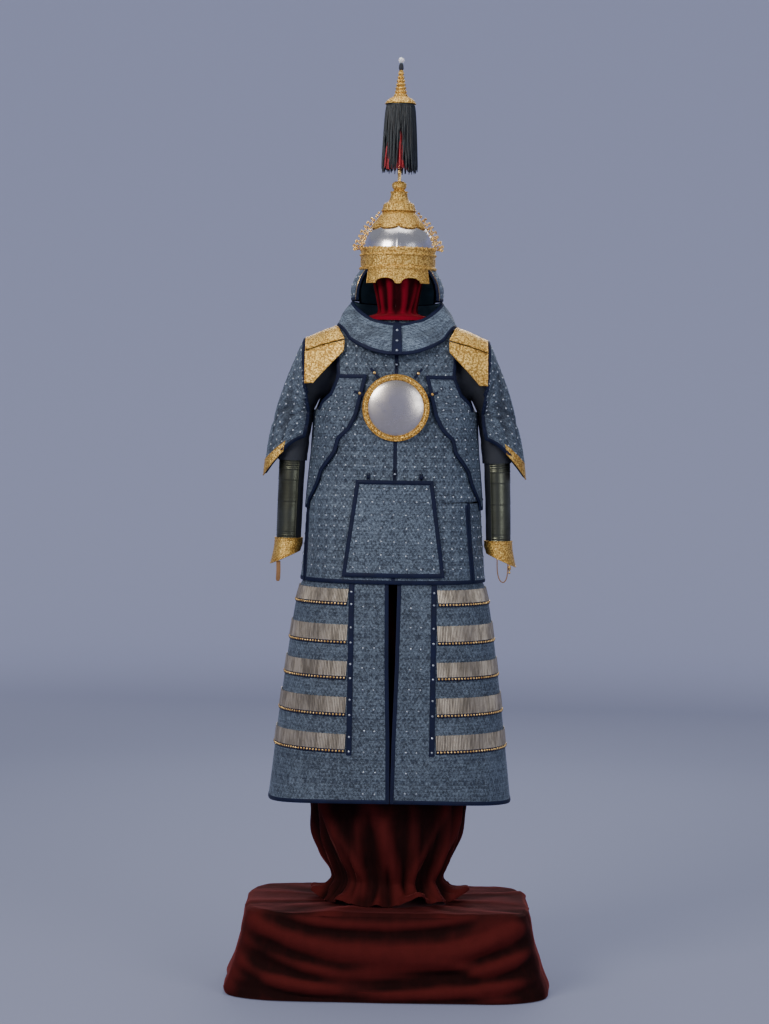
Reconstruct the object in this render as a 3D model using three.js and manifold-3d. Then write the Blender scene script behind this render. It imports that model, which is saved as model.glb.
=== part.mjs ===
// Studded cotton armour with its helmet, on a velvet-covered display stand.
// Millimetres, +Z up. The origin is the middle of the plinth's underside, on the floor.
// The front of the suit faces -Y, and the wearer's left is +X.
import * as THREE from 'three';
import { mergeVertices } from 'three/addons/utils/BufferGeometryUtils.js';
import Module from 'manifold-3d';

const wasm = await Module();
wasm.setup();

// Driving sizes
const seam = 0.3;               // gap between pieces that touch
const layer = 0.9;              // gap under a piece that lies on another, facets included
const padding = 5;              // wall of the quilted, padded cloth
const thinCloth = 3;            // wall of the plain cloth
const sheet = 2.5;              // wall of the metal plates
const bindingWidth = 10;
const bindingRise = 1.2;
const degree = Math.PI / 180;

const plinthHeight = 236;
const jacketHem = 1128;
const jacketNeck = 1858;
const skirtHemFront = 537;
const skirtHemSide = 518;
const skirtTop = 1262;
const mirrorHeight = 1608;
const mirrorRadius = 92.5;
const mirrorGlass = 76.5;
const helmetRim = 1992;
const bandTop = 2050;
const bandInside = 101;
const capTop = 2157;
const stemTop = 2450;

// Body sections: height, half width, depth in front of and behind the middle, squareness
const jacketSections = [
  { z: 1118, halfWidth: 259, front: 197, back: 189, square: 2.3 },
  { z: 1230, halfWidth: 249, front: 182, back: 172, square: 2.3 },
  { z: 1350, halfWidth: 241, front: 166, back: 157, square: 2.3 },
  { z: 1490, halfWidth: 229, front: 152, back: 145, square: 2.3 },
  { z: 1630, halfWidth: 223, front: 144, back: 142, square: 2.3 },
  { z: 1720, halfWidth: 221, front: 132, back: 138, square: 2.3 },
  { z: 1786, halfWidth: 211, front: 110, back: 126, square: 2.25 },
  { z: 1820, halfWidth: 180, front: 95, back: 111, square: 2.2 },
  { z: 1838, halfWidth: 140, front: 82, back: 96, square: 2.1 },
  { z: 1850, halfWidth: 100, front: 76, back: 84, square: 2 },
  { z: 1858, halfWidth: 76, front: 72, back: 74, square: 2 },
];
const skirtSections = [
  { z: 510, halfWidth: 340, front: 243, back: 240, square: 2.3 },
  { z: 650, halfWidth: 325, front: 233, back: 230, square: 2.3 },
  { z: 800, halfWidth: 307, front: 222, back: 218, square: 2.3 },
  { z: 900, halfWidth: 294, front: 214, back: 209, square: 2.3 },
  { z: 1011, halfWidth: 279, front: 205, back: 198, square: 2.3 },
  { z: 1066, halfWidth: 270, front: 199, back: 191, square: 2.3 },
  { z: 1108, halfWidth: 260, front: 194, back: 186, square: 2.3 },
  { z: 1130, halfWidth: 250, front: 188, back: 180, square: 2.3 },
  { z: 1190, halfWidth: 232, front: 172, back: 164, square: 2.25 },
  { z: 1235, halfWidth: 205, front: 150, back: 146, square: 2.15 },
  { z: 1262, halfWidth: 191.5, front: 142, back: 142, square: 2.1 },
];
const formSections = [
  { z: plinthHeight + seam, halfWidth: 190, front: 150, back: 145, square: 2 },
  { z: 262, halfWidth: 172, front: 134, back: 130, square: 2 },
  { z: 302, halfWidth: 152, front: 120, back: 118, square: 2 },
  { z: 409, halfWidth: 197, front: 150, back: 148, square: 2 },
  { z: 504, halfWidth: 216, front: 164, back: 160, square: 2 },
  { z: 700, halfWidth: 214, front: 162, back: 158, square: 2 },
  { z: 1000, halfWidth: 200, front: 148, back: 146, square: 2 },
  { z: 1225, halfWidth: 178, front: 128, back: 128, square: 2.1 },
  { z: 1275, halfWidth: 178, front: 128, back: 128, square: 2.1 },
  { z: 1450, halfWidth: 162, front: 118, back: 116, square: 2.1 },
  { z: 1620, halfWidth: 150, front: 116, back: 116, square: 2.1 },
  { z: 1785, halfWidth: 150, front: 92, back: 104, square: 2.1 },
];
const headSections = [
  { z: 1872, halfWidth: 58, front: 58, back: 60, square: 2 },
  { z: 1910, halfWidth: 62, front: 74, back: 66, square: 2 },
  { z: 1950, halfWidth: 70, front: 90, back: 86, square: 2 },
  { z: 1994, halfWidth: 78, front: bandInside - seam, back: bandInside - seam, square: 2 },
  { z: 2030, halfWidth: 79, front: bandInside - seam, back: bandInside - seam, square: 2 },
  { z: 2062, halfWidth: 70, front: 84, back: 84, square: 2 },
  { z: 2088, halfWidth: 48, front: 58, back: 58, square: 2 },
];
const headCrown = 2104;

// Colours and finishes
const finish = {
  cloth: { color: 0x5b7188, roughness: 0.82, metalness: 0 },
  binding: { color: 0x171c40, roughness: 0.6, metalness: 0 },
  darkCloth: { color: 0x14140f, roughness: 0.85, metalness: 0 },
  gilt: { color: 0xc79a3c, roughness: 0.34, metalness: 0.9 },
  silver: { color: 0xa7a2a0, roughness: 0.28, metalness: 0.95 },
  strip: { color: 0x8f857a, roughness: 0.45, metalness: 0.8 },
  greenSteel: { color: 0x54594a, roughness: 0.42, metalness: 0.75 },
  velvet: { color: 0x5a0a14, roughness: 0.95, metalness: 0 },
  plume: { color: 0x15191f, roughness: 0.8, metalness: 0 },
  redPlume: { color: 0x9c1420, roughness: 0.8, metalness: 0 },
  pearl: { color: 0xe9e6e0, roughness: 0.25, metalness: 0 },
  strap: { color: 0x8a5526, roughness: 0.7, metalness: 0 },
};

const armour = new THREE.Group();

function addPiece(name, geometry, look) {
  const piece = new THREE.Mesh(geometry, new THREE.MeshStandardMaterial(look));
  piece.name = name;
  armour.add(piece);
  return piece;
}

// Closed geometry from points and triangles, turned so that its faces point out
function closedGeometry(points, triangles) {
  let volume = 0;
  for (const [a, b, c] of triangles) {
    volume += points[a].dot(new THREE.Vector3().crossVectors(points[b], points[c]));
  }
  const order = volume < 0 ? ([a, b, c]) => [a, c, b] : (corners) => corners;
  const geometry = new THREE.BufferGeometry();
  const places = points.flatMap((point) => point.toArray());
  geometry.setAttribute('position', new THREE.Float32BufferAttribute(places, 3));
  geometry.setIndex(triangles.flatMap(order));
  geometry.computeVertexNormals();
  return geometry;
}

// A wall between two equal grids of points. A ring wraps round and is open at its ends.
function wallGeometry(outerRows, innerRows, ring = false) {
  const rows = outerRows.length;
  const columns = outerRows[0].length;
  const points = [...outerRows.flat(), ...innerRows.flat()];
  const triangles = [];
  const outer = (row, column) => row * columns + (column % columns);
  const inner = (row, column) => rows * columns + outer(row, column);
  const quad = (a, b, c, d) => triangles.push([a, b, c], [a, c, d]);
  const lastColumn = ring ? columns : columns - 1;
  for (let column = 0; column < lastColumn; column += 1) {
    for (let row = 0; row < rows - 1; row += 1) {
      quad(outer(row, column), outer(row, column + 1), outer(row + 1, column + 1), outer(row + 1, column));
      quad(inner(row, column), inner(row + 1, column), inner(row + 1, column + 1), inner(row, column + 1));
    }
    quad(inner(0, column), inner(0, column + 1), outer(0, column + 1), outer(0, column));
    const top = rows - 1;
    quad(outer(top, column), outer(top, column + 1), inner(top, column + 1), inner(top, column));
  }
  if (!ring) {
    for (let row = 0; row < rows - 1; row += 1) {
      quad(outer(row, 0), outer(row + 1, 0), inner(row + 1, 0), inner(row, 0));
      const side = columns - 1;
      quad(inner(row, side), inner(row + 1, side), outer(row + 1, side), outer(row, side));
    }
  }
  return closedGeometry(points, triangles);
}

// A solid skinned over rings of points, closed by a point or a flat fan at each end
function solidGeometry(rings, bottomPoint, topPoint) {
  const columns = rings[0].length;
  const points = [...rings.flat(), bottomPoint, topPoint];
  const bottom = rings.length * columns;
  const top = bottom + 1;
  const at = (row, column) => row * columns + (column % columns);
  const triangles = [];
  for (let column = 0; column < columns; column += 1) {
    for (let row = 0; row < rings.length - 1; row += 1) {
      triangles.push([at(row, column), at(row, column + 1), at(row + 1, column + 1)]);
      triangles.push([at(row, column), at(row + 1, column + 1), at(row + 1, column)]);
    }
    triangles.push([bottom, at(0, column + 1), at(0, column)]);
    triangles.push([top, at(rings.length - 1, column), at(rings.length - 1, column + 1)]);
  }
  return closedGeometry(points, triangles);
}

// Smooth value of one column of a table at a height
function valueAt(table, column, z) {
  const last = table.length - 1;
  if (z <= table[0].z) return table[0][column];
  if (z >= table[last].z) return table[last][column];
  let row = 0;
  while (table[row + 1].z < z) row += 1;
  const slope = (at) => {
    const before = table[Math.max(at - 1, 0)];
    const after = table[Math.min(at + 1, last)];
    return (after[column] - before[column]) / (after.z - before.z);
  };
  const span = table[row + 1].z - table[row].z;
  const t = (z - table[row].z) / span;
  const start = table[row][column];
  const end = table[row + 1][column];
  return start * (1 + 2 * t) * (1 - t) ** 2 + end * t * t * (3 - 2 * t)
    + span * (slope(row) * t * (1 - t) ** 2 - slope(row + 1) * t * t * (1 - t));
}

// Straight-line value of one column of a table
function straightAt(table, key, column, value) {
  const last = table.length - 1;
  if (value <= table[0][key]) return table[0][column];
  if (value >= table[last][key]) return table[last][column];
  let row = 0;
  while (table[row + 1][key] < value) row += 1;
  const t = (value - table[row][key]) / (table[row + 1][key] - table[row][key]);
  return table[row][column] + t * (table[row + 1][column] - table[row][column]);
}

// A body surface: angle 0 is the middle of the front, 90 degrees the wearer's left side
function bodySurface(sections) {
  return (angle, z) => {
    const power = 2 / valueAt(sections, 'square', z);
    const across = Math.sin(angle);
    const along = Math.cos(angle);
    const depth = valueAt(sections, along >= 0 ? 'front' : 'back', z);
    const x = Math.sign(across) * Math.abs(across) ** power * valueAt(sections, 'halfWidth', z);
    const y = -Math.sign(along) * Math.abs(along) ** power * depth;
    return new THREE.Vector3(x, y, z);
  };
}

// Angle at which a body surface has a given distance from the middle
function angleAcross(sections, x, z) {
  const share = Math.min(Math.abs(x) / valueAt(sections, 'halfWidth', z), 1);
  return Math.sign(x) * Math.asin(share ** (valueAt(sections, 'square', z) / 2));
}

function movedOut(surface, u, v, distance, sense = 1) {
  const step = 1e-3;
  const here = surface(u, v);
  const alongU = surface(u + step, v).sub(surface(u - step, v));
  const alongV = surface(u, v + 1).sub(surface(u, v - 1));
  return here.addScaledVector(alongU.cross(alongV).normalize(), distance * sense);
}

// Steps from start to end; a bound end has a raised strip as wide as the binding
function stepsBetween(start, end, count, boundStart = false, boundEnd = false, size = 0) {
  const strip = (bindingWidth / (size || Math.abs(end - start))) * (end - start);
  const slope = strip * 0.15;
  const steps = [];
  const inside = [start, end];
  if (boundStart) {
    steps.push({ at: start, raised: true }, { at: start + strip, raised: true });
    inside[0] = start + strip + slope;
  }
  if (boundEnd) inside[1] = end - strip - slope;
  for (let step = 0; step <= count; step += 1) {
    steps.push({ at: inside[0] + ((inside[1] - inside[0]) * step) / count, raised: false });
  }
  if (boundEnd) steps.push({ at: end - strip, raised: true }, { at: end, raised: true });
  return steps;
}

function arcLength(surface, start, end, z) {
  const parts = 12;
  let length = 0;
  for (let part = 0; part < parts; part += 1) {
    const from = surface(start + ((end - start) * part) / parts, z);
    length += from.distanceTo(surface(start + ((end - start) * (part + 1)) / parts, z));
  }
  return length;
}

// A panel of cloth on a body surface, between two side edges and a lower and upper line
function clothPanel(shape) {
  const { surface, left, right, heights, columns } = shape;
  const { lift = 0, wall = padding, bound = false, side = 1 } = shape;
  const outerRows = [];
  const innerRows = [];
  for (const height of heights) {
    const start = left(height.at);
    const end = right(height.at);
    const width = arcLength(surface, start, end, height.at);
    const outerRow = [];
    const innerRow = [];
    for (const step of stepsBetween(start, end, columns, bound, bound, Math.max(width, 40))) {
      const rise = bound && (step.raised || height.raised) ? bindingRise : 0;
      outerRow.push(movedOut(surface, step.at, height.at, lift + wall + rise));
      innerRow.push(movedOut(surface, step.at, height.at, lift));
    }
    outerRows.push(outerRow.map((point) => point.setX(point.x * side)));
    innerRows.push(innerRow.map((point) => point.setX(point.x * side)));
  }
  return wallGeometry(outerRows, innerRows);
}

// Ring of a tube: an ellipse round a centre, tilted by an angle in the XZ plane
function tubeRing({ x, z, halfWidth, halfDepth, tilt, side, shrink = 0, sides = 12 }) {
  const ring = [];
  for (let step = 0; step < sides; step += 1) {
    const turn = (2 * Math.PI * step) / sides;
    const out = (halfWidth - shrink) * Math.cos(turn);
    const y = (halfDepth - shrink) * Math.sin(turn);
    ring.push(new THREE.Vector3(side * (x + out * Math.cos(tilt)), y, z + out * Math.sin(tilt)));
  }
  return ring;
}

function tubeGeometry(sections, side, wall) {
  const outerRows = sections.map((section) => tubeRing({ ...section, side }));
  const innerRows = sections.map((section) => tubeRing({ ...section, side, shrink: wall }));
  return wallGeometry(outerRows, innerRows, true);
}

// Geometry with its points alone, so that equal points can be merged
function bare(geometry) {
  geometry.deleteAttribute('uv');
  geometry.deleteAttribute('normal');
  return geometry;
}

function latheGeometry(profile, segments) {
  const points = profile.map(([radius, z]) => new THREE.Vector2(radius, z));
  const geometry = bare(new THREE.LatheGeometry(points, segments));
  geometry.rotateX(Math.PI / 2);
  return turnedOut(mergeVertices(geometry, 1e-4));
}

// The same geometry without flat triangles and with its faces pointing out
function turnedOut(geometry) {
  const position = geometry.getAttribute('position');
  const points = [];
  for (let index = 0; index < position.count; index += 1) {
    points.push(new THREE.Vector3().fromBufferAttribute(position, index));
  }
  const corners = Array.from(geometry.index.array);
  const triangles = [];
  for (let index = 0; index < corners.length; index += 3) {
    const [a, b, c] = corners.slice(index, index + 3);
    if (a !== b && b !== c && c !== a) triangles.push([a, b, c]);
  }
  return closedGeometry(points, triangles);
}

// Boolean joins and cuts
function toSolid(geometry) {
  const plain = new THREE.BufferGeometry();
  plain.setAttribute('position', geometry.getAttribute('position').clone());
  if (geometry.index) plain.setIndex(geometry.index);
  const merged = turnedOut(mergeVertices(plain, 1e-4));
  return new wasm.Manifold(new wasm.Mesh({
    numProp: 3,
    vertProperties: new Float32Array(merged.getAttribute('position').array),
    triVerts: new Uint32Array(merged.index.array),
  }));
}

function fromSolid(solid) {
  const mesh = solid.getMesh();
  const geometry = new THREE.BufferGeometry();
  geometry.setAttribute('position', new THREE.BufferAttribute(Float32Array.from(mesh.vertProperties), 3));
  geometry.setIndex(Array.from(mesh.triVerts));
  geometry.computeVertexNormals();
  return geometry;
}

function joined(geometries) {
  let solid = toSolid(geometries[0]);
  for (const geometry of geometries.slice(1)) solid = solid.add(toSolid(geometry));
  return fromSolid(solid);
}

const jacketSurface = bodySurface(jacketSections);
const skirtSurface = bodySurface(skirtSections);
const formSurface = bodySurface(formSections);
const headSurface = bodySurface(headSections);
const besideSeam = 0.05 * degree;

// Stand

function addPlinth() {
  const levels = [
    { z: 0, halfWidth: 450, halfDepth: 260, square: 5 },
    { z: 18, halfWidth: 450, halfDepth: 260, square: 5 },
    { z: 60, halfWidth: 432, halfDepth: 248, square: 5.5 },
    { z: 130, halfWidth: 412, halfDepth: 236, square: 6 },
    { z: 205, halfWidth: 398, halfDepth: 226, square: 6 },
    { z: 228, halfWidth: 392, halfDepth: 221, square: 6 },
    { z: plinthHeight, halfWidth: 380, halfDepth: 212, square: 6 },
  ];
  const sides = 32;
  const rings = levels.map(({ z, halfWidth, halfDepth, square }) => {
    const ring = [];
    for (let step = 0; step < sides; step += 1) {
      const turn = (2 * Math.PI * step) / sides;
      const across = Math.abs(Math.cos(turn)) ** (2 / square) * Math.sign(Math.cos(turn));
      const along = Math.abs(Math.sin(turn)) ** (2 / square) * Math.sign(Math.sin(turn));
      ring.push(new THREE.Vector3(halfWidth * across, halfDepth * along, z));
    }
    return ring;
  });
  const bottom = new THREE.Vector3(0, 0, 0);
  const top = new THREE.Vector3(0, 0, plinthHeight);
  addPiece('stand_plinth', solidGeometry(rings, bottom, top), finish.velvet);
}

function surfaceRing(surface, z, sides, inset = 0) {
  const ring = [];
  for (let step = 0; step < sides; step += 1) {
    const angle = (2 * Math.PI * step) / sides;
    ring.push(inset ? movedOut(surface, angle, z, -inset) : surface(angle, z));
  }
  return ring;
}

// The form follows the jacket's inside at the shoulders, which rest on it
function addForm() {
  const sides = 18;
  const rest = padding + seam;
  const lowHeights = [plinthHeight + seam, 262, 302, 350, 409, 504, 700, 1000];
  const bodyHeights = [...lowHeights, 1225, 1275, 1450, 1620, 1785];
  const shoulderHeights = [1820, 1838, 1850, jacketNeck];
  const rings = [
    ...bodyHeights.map((z) => surfaceRing(formSurface, z, sides)),
    ...shoulderHeights.map((z) => surfaceRing(jacketSurface, z, sides, rest)),
    ...headSections.map(({ z }) => surfaceRing(headSurface, z, sides)),
  ];
  const bottom = new THREE.Vector3(0, 0, plinthHeight + seam);
  const top = new THREE.Vector3(0, 0, headCrown);
  addPiece('stand_form', solidGeometry(rings, bottom, top), finish.velvet);
}

// Helmet

const bowlProfile = [
  [102.5, bandTop + seam], [97.5, 2072], [88.5, 2092], [76, 2108], [58, 2124], [36, 2136],
];

function addBowl() {
  const outside = [...bowlProfile, [0, 2142]];
  const inside = bowlProfile.map(([radius, z]) => [radius - sheet, z - (z > 2060 ? sheet * 0.6 : 0)]);
  const profile = [...outside, [0, 2142 - sheet], ...inside.reverse(), outside[0]];
  addPiece('helmet_bowl', latheGeometry(profile, 24), finish.silver);
}

// Radius of the bowl's outside at a height
function bowlRadius(z) {
  const table = bowlProfile.map(([radius, height]) => ({ radius, z: height }));
  return straightAt(table, 'z', 'radius', z);
}

// Gilt cap over the top of the bowl, with a lobed lower edge that lies on it
function addCrown() {
  const sides = 24;
  const lobes = 8;
  const lobeDrop = 8;
  const lowerEdge = 2106.5;
  const outside = [[79.2, 2111], [70, 2122], [56, 2139], [45, capTop]];
  const inside = [[76.6, 2109], [58.9, 2124.8], [36.8, 2137], [20, 2141]];
  const ring = (place) => {
    const points = [];
    for (let step = 0; step < sides; step += 1) {
      const turn = (2 * Math.PI * step) / sides;
      const [radius, z] = place(turn);
      points.push(new THREE.Vector3(radius * Math.cos(turn), radius * Math.sin(turn), z));
    }
    return points;
  };
  const lobeHeight = (turn) => lowerEdge - lobeDrop * Math.abs(Math.sin((lobes * turn) / 2));
  const lobe = (grow) => (turn) => [bowlRadius(lobeHeight(turn)) + grow, lobeHeight(turn)];
  const outerRows = [ring(lobe(3.4)), ...outside.map((point) => ring(() => point))];
  const innerRows = [ring(lobe(0.9)), ...inside.map((point) => ring(() => point))];
  addPiece('helmet_crown', wallGeometry(outerRows, innerRows, true), finish.gilt);
}

function addBand() {
  const profile = [
    [bandInside, helmetRim], [108, helmetRim], [108, 2000], [104.5, 2003], [104.5, 2028], [107, 2031],
    [107, 2036], [104.5, 2039], [104.5, bandTop], [bandInside, bandTop], [bandInside, helmetRim],
  ];
  addPiece('helmet_band', latheGeometry(profile, 24), finish.gilt);
}

// Peak plate under the front of the band: two shallow arches with a cusp in the middle
function addBrowPlate() {
  const halfAngle = 51 * degree;
  const columns = 20;
  const plateTop = helmetRim - seam;
  const outerRows = [];
  const innerRows = [];
  for (const share of [0, 0.5, 1]) {
    const outerRow = [];
    const innerRow = [];
    for (let column = 0; column <= columns; column += 1) {
      const angle = halfAngle * ((2 * column) / columns - 1);
      const across = Math.abs(Math.sin(angle)) * 107;
      const arch = 14 * Math.max(0, 1 - ((across - 34) / 26) ** 2) ** 0.5;
      const cusp = 9 * Math.max(0, 1 - across / 14);
      const lower = 1953 + arch - cusp * 0.2;
      const z = lower + (plateTop - lower) * share;
      const radius = 106 + 6 * (1 - share);
      const direction = new THREE.Vector3(Math.sin(angle), -Math.cos(angle), 0);
      outerRow.push(direction.clone().multiplyScalar(radius).setZ(z));
      innerRow.push(direction.multiplyScalar(radius - sheet).setZ(z));
    }
    outerRows.push(outerRow);
    innerRows.push(innerRow);
  }
  addPiece('helmet_brow_plate', wallGeometry(outerRows, innerRows), finish.gilt);
}

// Openwork crests that stand out from the sides of the bowl and the cap: a curled plate with cut gaps
function addCrest(name, side) {
  const thickness = 7;
  const outline = new THREE.Shape();
  outline.moveTo(106, 2051);
  outline.quadraticCurveTo(112, 2040, 119, 2043);
  outline.quadraticCurveTo(130, 2046, 126, 2056);
  outline.quadraticCurveTo(122, 2066, 115, 2062);
  outline.quadraticCurveTo(118, 2076, 108, 2079);
  outline.quadraticCurveTo(110, 2092, 98, 2095);
  outline.quadraticCurveTo(99, 2105, 92, 2108);
  outline.quadraticCurveTo(93, 2119, 84, 2121);
  outline.quadraticCurveTo(84, 2132, 75, 2133);
  outline.quadraticCurveTo(74, 2144, 66, 2145);
  outline.quadraticCurveTo(63, 2154, 56, 2155);
  const innerEdge = [
    [51, 2153], [60, 2139], [73, 2122.5], [82.5, 2111.5], [84, 2104], [86.6, 2096], [89.3, 2092],
    [98.3, 2072.5], [103.5, 2051],
  ];
  for (const [x, z] of innerEdge) outline.lineTo(x, z);
  outline.closePath();
  const settings = { depth: thickness, bevelEnabled: false, curveSegments: 4 };
  const geometry = new THREE.ExtrudeGeometry(outline, settings);
  let solid = toSolid(mergeVertices(bare(geometry), 1e-4));
  const gaps = [
    { x: 117.5, z: 2053, radius: 4 }, { x: 104, z: 2076, radius: 3 }, { x: 95, z: 2093, radius: 2 },
    { x: 78, z: 2124, radius: 2.6 }, { x: 67, z: 2138, radius: 2.4 },
  ];
  for (const gap of gaps) {
    const cutter = new THREE.CylinderGeometry(gap.radius, gap.radius, 20, 8);
    cutter.rotateX(Math.PI / 2);
    cutter.translate(gap.x, gap.z, thickness / 2);
    solid = solid.subtract(toSolid(mergeVertices(bare(cutter), 1e-4)));
  }
  const plate = fromSolid(solid);
  plate.translate(0, 0, -thickness / 2);
  plate.rotateX(Math.PI / 2);
  if (side < 0) plate.rotateZ(Math.PI);
  addPiece(name, plate, finish.gilt);
}

// Bud, cup and bell between the crown and the plume
function addBud() {
  const profile = [
    [0, capTop + seam], [47, capTop + seam], [46, 2167], [42, 2177], [33, 2183], [25, 2196], [22, 2212],
    [14, 2216], [19, 2224], [20, 2236], [12, 2242], [0, 2242],
  ];
  addPiece('helmet_bud', latheGeometry(profile, 16), finish.gilt);
}

const stemRadius = 5;

function addStem() {
  const length = stemTop - 2242 - seam;
  const stem = new THREE.CylinderGeometry(stemRadius, stemRadius, length, 10);
  stem.rotateX(Math.PI / 2);
  stem.translate(0, 0, 2242 + seam + length / 2);
  addPiece('plume_stem', fromSolid(toSolid(bare(stem))), finish.gilt);
}

// Red locks inside, dark locks outside: each hangs from a disc round the stem
function addLocks(name, { count, rootRadius, endRadius, top, bottom, width, look, discThickness }) {
  const disc = latheGeometry([
    [stemRadius + seam, top - discThickness], [rootRadius + width, top - discThickness],
    [rootRadius + width, top], [stemRadius + seam, top], [stemRadius + seam, top - discThickness],
  ], 16);
  let solid = toSolid(disc);
  for (let lock = 0; lock < count; lock += 1) {
    const turn = (2 * Math.PI * lock) / count;
    const length = top - discThickness - bottom - 9 * Math.abs(Math.sin(lock * 2.7));
    const points = [];
    for (const [share, half] of [[0, width / 2], [0.6, width / 2], [1, width * 0.35]]) {
      const radius = rootRadius + (endRadius - rootRadius) * share ** 0.7;
      const z = top - discThickness * 0.5 - (length + discThickness * 0.5) * share;
      for (const [inward, across] of [[half, 0], [-half, half * 1.1], [-half, -half * 1.1]]) {
        const place = new THREE.Vector3(radius + inward, across, z);
        points.push(place.applyAxisAngle(new THREE.Vector3(0, 0, 1), turn));
      }
    }
    const triangles = [[0, 1, 2], [6, 8, 7]];
    for (const row of [0, 3]) {
      for (let corner = 0; corner < 3; corner += 1) {
        const [here, next] = [row + corner, row + ((corner + 1) % 3)];
        triangles.push([here, here + 3, next + 3], [here, next + 3, next]);
      }
    }
    solid = solid.add(toSolid(closedGeometry(points, triangles)));
  }
  addPiece(name, fromSolid(solid), look);
}

function addPlume() {
  addLocks('plume_locks', {
    count: 22,
    rootRadius: 36,
    endRadius: 49,
    top: 2458,
    bottom: 2262,
    width: 6,
    discThickness: 6,
    look: finish.plume,
  });
  addLocks('plume_core', {
    count: 10,
    rootRadius: 18,
    endRadius: 25,
    top: 2451.5,
    bottom: 2272,
    width: 6,
    discThickness: 5,
    look: finish.redPlume,
  });
  const cap = [
    [0, 2458 + seam], [42, 2458 + seam], [40, 2466], [31, 2474], [20, 2480], [0, 2480],
  ];
  addPiece('plume_cap', latheGeometry(cap, 16), finish.gilt);
  const finial = [
    [0, 2480 + seam], [18.5, 2480 + seam], [18, 2486], [14.2, 2489], [16.8, 2493], [12.5, 2499],
    [15, 2503], [10.7, 2509], [13.3, 2513], [8.9, 2519], [11.5, 2523], [7.2, 2529.5], [9.8, 2533.5],
    [5.5, 2540], [8, 2544], [5, 2553], [7, 2560], [6, 2568], [3.5, 2573], [0, 2573],
  ];
  addPiece('plume_finial', latheGeometry(finial, 12), finish.gilt);
  const pearl = new THREE.SphereGeometry(8, 10, 6);
  pearl.translate(0, 0, 2581 + seam);
  addPiece('finial_pearl', fromSolid(toSolid(bare(pearl))), finish.pearl);
}

// Cloth that hangs from the helmet's rim at the sides and the back
function rimSurface(flare) {
  return (angle, z) => {
    const radius = valueAt(flare, 'radius', z);
    return new THREE.Vector3(radius * Math.sin(angle), -radius * Math.cos(angle), z);
  };
}

const cheekFlare = [
  { z: 1900, radius: 124 }, { z: 1935, radius: 127 }, { z: 1965, radius: 119 }, { z: 1992, radius: 102 },
];
const cheekFront = [{ z: 1900, angle: 62 }, { z: 1940, angle: 57 }, { z: 1992, angle: 54 }];

function addRimCloth() {
  const cheek = rimSurface(cheekFlare);
  const heights = stepsBetween(1908, helmetRim - seam - 2.2, 4);
  const frontEdge = (z) => straightAt(cheekFront, 'z', 'angle', z) * degree;
  const backEdge = 122 * degree;
  const flap = {
    surface: cheek,
    left: frontEdge,
    right: () => backEdge,
    heights,
    columns: 7,
    wall: thinCloth,
  };
  addPiece('cheek_flap_left', clothPanel(flap), finish.cloth);
  addPiece('cheek_flap_right', clothPanel({ ...flap, side: -1 }), finish.cloth);
  const nape = {
    surface: cheek,
    left: () => 123 * degree,
    right: () => 237 * degree,
    heights,
    columns: 10,
    wall: thinCloth,
  };
  addPiece('nape_guard', clothPanel(nape), finish.cloth);
}

// Gorget: a cone-shaped collar, low at the throat, that opens at the front

const gorgetLine = {
  upper: { halfWidth: 122, front: 96, back: 112, frontZ: 1834, sideZ: 1903, backZ: 1898, clear: 20 },
  lower: { halfWidth: 164, front: 151, back: 150, frontZ: 1753, sideZ: 1829, backZ: 1800, clear: 5.4 },
};

// Height at which the jacket's shoulder passes under a point
function shoulderHeight(x, y) {
  let [low, high] = [1700, jacketNeck];
  const outside = (z) => {
    const square = valueAt(jacketSections, 'square', z);
    const across = Math.abs(x) / valueAt(jacketSections, 'halfWidth', z);
    const along = Math.abs(y) / valueAt(jacketSections, y < 0 ? 'front' : 'back', z);
    return across ** square + along ** square > 1;
  };
  if (outside(low)) return low;
  for (let step = 0; step < 24; step += 1) {
    const middle = (low + high) / 2;
    if (outside(middle)) high = middle;
    else low = middle;
  }
  return low;
}

function gorgetEdge(line, angle) {
  const along = Math.cos(angle);
  const depth = along >= 0 ? line.front : line.back;
  const height = along >= 0
    ? line.sideZ + (line.frontZ - line.sideZ) * along ** 1.6
    : line.sideZ + (line.backZ - line.sideZ) * (-along) ** 1.3;
  const x = line.halfWidth * Math.sin(angle);
  const y = -depth * along;
  return new THREE.Vector3(x, y, Math.max(height, shoulderHeight(x, y) + line.clear));
}

// The share runs from 0 at the lower rim to 100 at the neck
function gorgetSurface(angle, share) {
  const part = share / 100;
  const bulge = 7 * Math.sin(Math.PI * part);
  const lower = gorgetEdge(gorgetLine.lower, angle);
  const place = lower.lerp(gorgetEdge(gorgetLine.upper, angle), part);
  return place.add(new THREE.Vector3(bulge * Math.sin(angle), -bulge * Math.cos(angle), 0));
}

function addGorget() {
  const opening = 0.15 * degree;
  const heights = stepsBetween(0, 100, 2, true, true, 95);
  addPiece('gorget', clothPanel({
    surface: gorgetSurface,
    left: () => opening,
    right: () => 2 * Math.PI - opening,
    heights,
    columns: 20,
    wall: padding - 1,
    bound: true,
  }), finish.cloth);
  const halfBand = 5 * degree;
  const placket = clothPanel({
    surface: gorgetSurface,
    left: () => -halfBand,
    right: () => halfBand,
    heights: stepsBetween(-1, 101, 5),
    columns: 3,
    lift: padding + bindingRise + 0.4,
    wall: 2,
  });
  const pieces = [placket];
  for (const share of [12, 44, 78]) {
    const button = new THREE.SphereGeometry(4.5, 6, 4);
    const place = movedOut(gorgetSurface, 0, share, padding + bindingRise + 3.5);
    button.translate(place.x, place.y, place.z);
    pieces.push(bare(button));
  }
  addPiece('gorget_placket', joined(pieces), finish.binding);
}

// Jacket

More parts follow.
